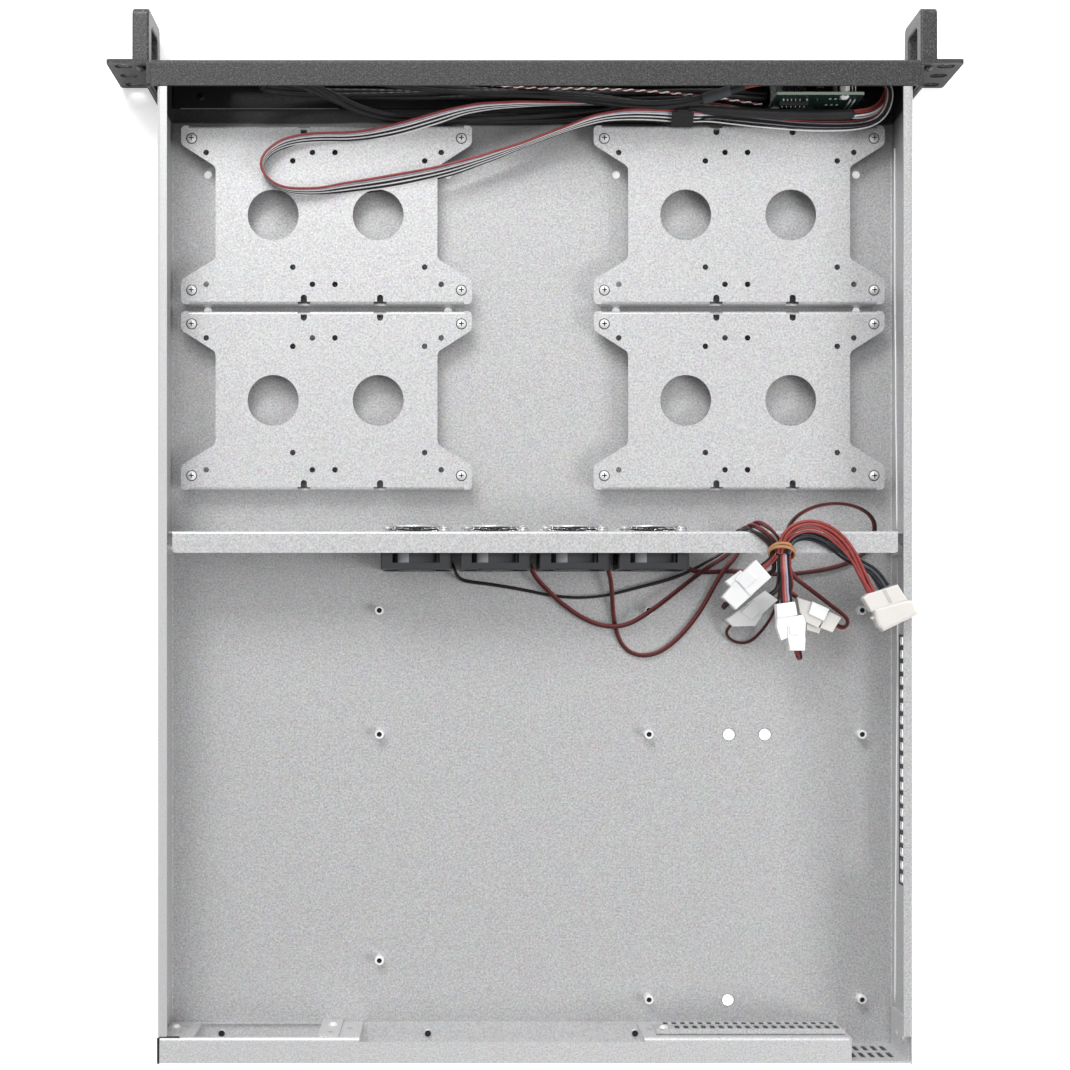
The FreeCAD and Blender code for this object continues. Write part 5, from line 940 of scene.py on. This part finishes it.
# painted shade: dark strips round the right wall's vent slots, for the shade on their punched edges
for i in range(18):
    b.box(mm(-211.2, 327.2 + 3.78 + i * 7.56, 27.6), (0.00036, 0.0026, 0.0176), 0, chamfer=0.0001)
for v in (327.2 - 3.2, 327.2 + 18 * 7.56 + 3.2):
    b.box(mm(-211.2, v, 27.6), (0.00036, 0.0012, 0.0176), 0, chamfer=0.0001)
b.box(mm(-211.2, 327.2 + 9 * 7.56, 18.6), (0.00036, 0.1440, 0.0012), 0, chamfer=0.0001)
b.make("side_vent_shade", [M["slot_dark"]])
b = Build()
# painted highlight: a thin bead along the right wall's lower fold, coloured near white for the light the fold catches
bead = [(40.0, 8.2), (120.0, 8.5), (180.0, 10.5), (240.0, 12.6), (262.0, 13.2)]
stick(b, [(-211.15, v, keyed(bead, v)) for v in range(40, 263, 6)], 0.50, 0, 10)
bead = [(280.0, 14.6), (330.0, 14.8), (420.0, 12.0), (500.0, 9.4), (541.0, 8.6)]
stick(b, [(-211.15, v, keyed(bead, v)) for v in range(280, 541, 6)], 0.50, 0, 10)
b.make("wall_fold_highlight", [M["bright"]])
b = Build()
# painted shade: dark slivers in the gaps at the rear corner and the bar, and a dark disc in a hole in the right wall
b.box(mm(211.9, 557.4, 43.95), (0.0013, 0.0146, 0.0003), 0, chamfer=0.0001)
b.box(mm(205.6, 549.7, 43.1), (0.0112, 0.0005, 0.0010), 0, chamfer=0.0001)
b.lathe(mm(-210.9, 272.1, 20.0), (1, 0, 0), [(0.0, 0.0), (0.0021, 0.0), (0.0021, 0.0004), (0.0, 0.0003)], 0, 18)
b.make("corner_gap_shade", [M["bore"]])

b = Build()
b.box(mm(160.0, 14.9, 2.1), (0.0930, 0.0006, 0.0007), 0, chamfer=0.0002)
b.box(mm(96.0, 14.9, 2.1), (0.0060, 0.0006, 0.0007), 0, chamfer=0.0002)
b.make("coat_edge", [M["edge_grey"]])

# faces of the fans' barrels seen in the open pockets, coloured lighter than the fan plastic as a painted highlight for
# the light they catch
b = Build()
for fx in (67.05, 22.35, -22.35, -67.05):
    for a0, a1 in ((11.7, 31.5), (-40.5, -36.0)):
        rings = []
        for v in (270.0, 282.9):
            ring = []
            for rr in (19.82, 19.2):
                for q in range(7):
                    f = q / 6.0 if rr > 19.5 else 1.0 - q / 6.0
                    a = math.radians(a0 + (a1 - a0) * f)
                    ring.append(mm(fx + rr * math.sin(a), v, 21.5 + rr * math.cos(a)))
            rings.append(ring)
        b.rings(rings, 0, smooth=False)
b.make("fan_barrel_painted_highlight", [M["fan_lit"]])

# ------------------------------------------------------------------ control board: joints and small parts
b = Build()
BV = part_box("control_board")[1][1] * 1000.0 + 267.0
for x, z, r in [(-142.6, 27.9, 1.1), (-144.9, 27.9, 0.7), (-147.1, 27.9, 0.7), (-149.5, 27.9, 0.7), (-152.0, 27.9, 0.7), (-156.0, 27.9, 1.1),
                (-142.3, 18.3, 0.9), (-144.6, 18.3, 0.45), (-146.4, 18.3, 0.45), (-148.1, 18.3, 0.45), (-150.1, 18.3, 0.45), (-152.1, 18.3, 0.45), (-156.0, 18.3, 0.8)]:
    b.lathe(mm(x, BV - 0.05, z), (0, 1, 0), [(r / 1000.0, 0.0), (r / 1600.0, 0.0004), (r / 4000.0, 0.0011), (0.0, 0.0012)], 0, 12)
b.lathe(mm(-176.3, BV - 0.05, 34.0), (0, 1, 0), [(0.0015, 0.0), (0.0013, 0.0006), (0.0006, 0.0009), (0.0, 0.0009)], 0, 14)
for x in (-168.9, -172.0, -175.0):
    for z in (28.6, 17.7):
        b.lathe(mm(x, BV - 0.05, z), (0, 1, 0), [(0.0009, 0.0), (0.0008, 0.0003), (0.0003, 0.0004), (0.0, 0.0004)], 2, 12)
b.box(mm(-161.9, BV + 0.2, 27.0), (0.0006, 0.0006, 0.0020), 0, chamfer=0.0001)
stick(b, [(-180.8, BV + 0.5, 13.5), (-180.8, BV + 0.5, 28.0)], 0.5, 2)
stick(b, [(-183.2, BV + 0.5, 13.5), (-183.2, BV + 0.5, 28.0)], 0.5, 2)
b.box(mm(-157.2, BV + 0.3, 8.6), (0.0136, 0.0007, 0.0006), 2, chamfer=0.0001)
b.box(mm(-149.0, BV + 1.2, 22.9), (0.0170, 0.0024, 0.0052), 1, chamfer=0.0003)
for k in range(6):
    stick(b, [(-142.6 - 2.54 * k, BV + 0.6, 22.9), (-142.6 - 2.54 * k, BV + 3.4, 22.9)], 0.3, 0, 6)
b.make("board_joints", [M["solder"], M["black"], M["grey"]])

# ------------------------------------------------------------------ light and stage
world = bpy.data.worlds.new("studio")
scene.world = world
world.use_nodes = True
wt = world.node_tree
wt.nodes.clear()
wo = wt.nodes.new("ShaderNodeOutputWorld")
bg = wt.nodes.new("ShaderNodeBackground")
tc = wt.nodes.new("ShaderNodeTexCoord")
sx = wt.nodes.new("ShaderNodeSeparateXYZ")
mr = wt.nodes.new("ShaderNodeMapRange")
wt.links.new(tc.outputs["Generated"], sx.inputs[0])
lean = wt.nodes.new("ShaderNodeMath")
lean.operation = "MULTIPLY_ADD"
wt.links.new(sx.outputs["X"], lean.inputs[0])
lean.inputs[1].default_value = -0.55
wt.links.new(sx.outputs["Y"], lean.inputs[2])
wt.links.new(lean.outputs[0], mr.inputs["Value"])
mr.inputs["From Min"].default_value = -0.5
mr.inputs["From Max"].default_value = 0.5
mr.inputs["To Min"].default_value = 0.86
mr.inputs["To Max"].default_value = 0.30
bg.inputs["Color"].default_value = (1.0, 1.0, 1.0, 1)
wt.links.new(mr.outputs[0], bg.inputs["Strength"])
wt.links.new(bg.outputs[0], wo.inputs[0])


def area(name, loc, target, size, power, colour=(1, 1, 1)):
    d = bpy.data.lights.new(name, "AREA")
    d.shape = "RECTANGLE"
    d.size, d.size_y = size
    d.energy = power
    d.color = colour
    o = link(bpy.data.objects.new(name, d))
    o.location = loc
    o.rotation_euler = (Vector(target) - Vector(loc)).to_track_quat("-Z", "Y").to_euler()
    return o


key = area("key_light", (-1.15, 0.45, 1.05), (0.0, 0.15, 0), (0.6, 0.6), 16.0)
key.visible_glossy = False
front = area("front_light", (0.45, -1.35, 1.25), (0.0, -0.15, 0), (1.0, 0.7), 22.0)

bm = bmesh.new()
bmesh.ops.create_grid(bm, x_segments=8, y_segments=8, size=3.0)
me = bpy.data.meshes.new("studio_floor")
bm.to_mesh(me)
bm.free()
me.materials.append(M["floor"])
stage = link(bpy.data.objects.new("studio_floor", me))
stage.location = (0, 0, -0.0003)
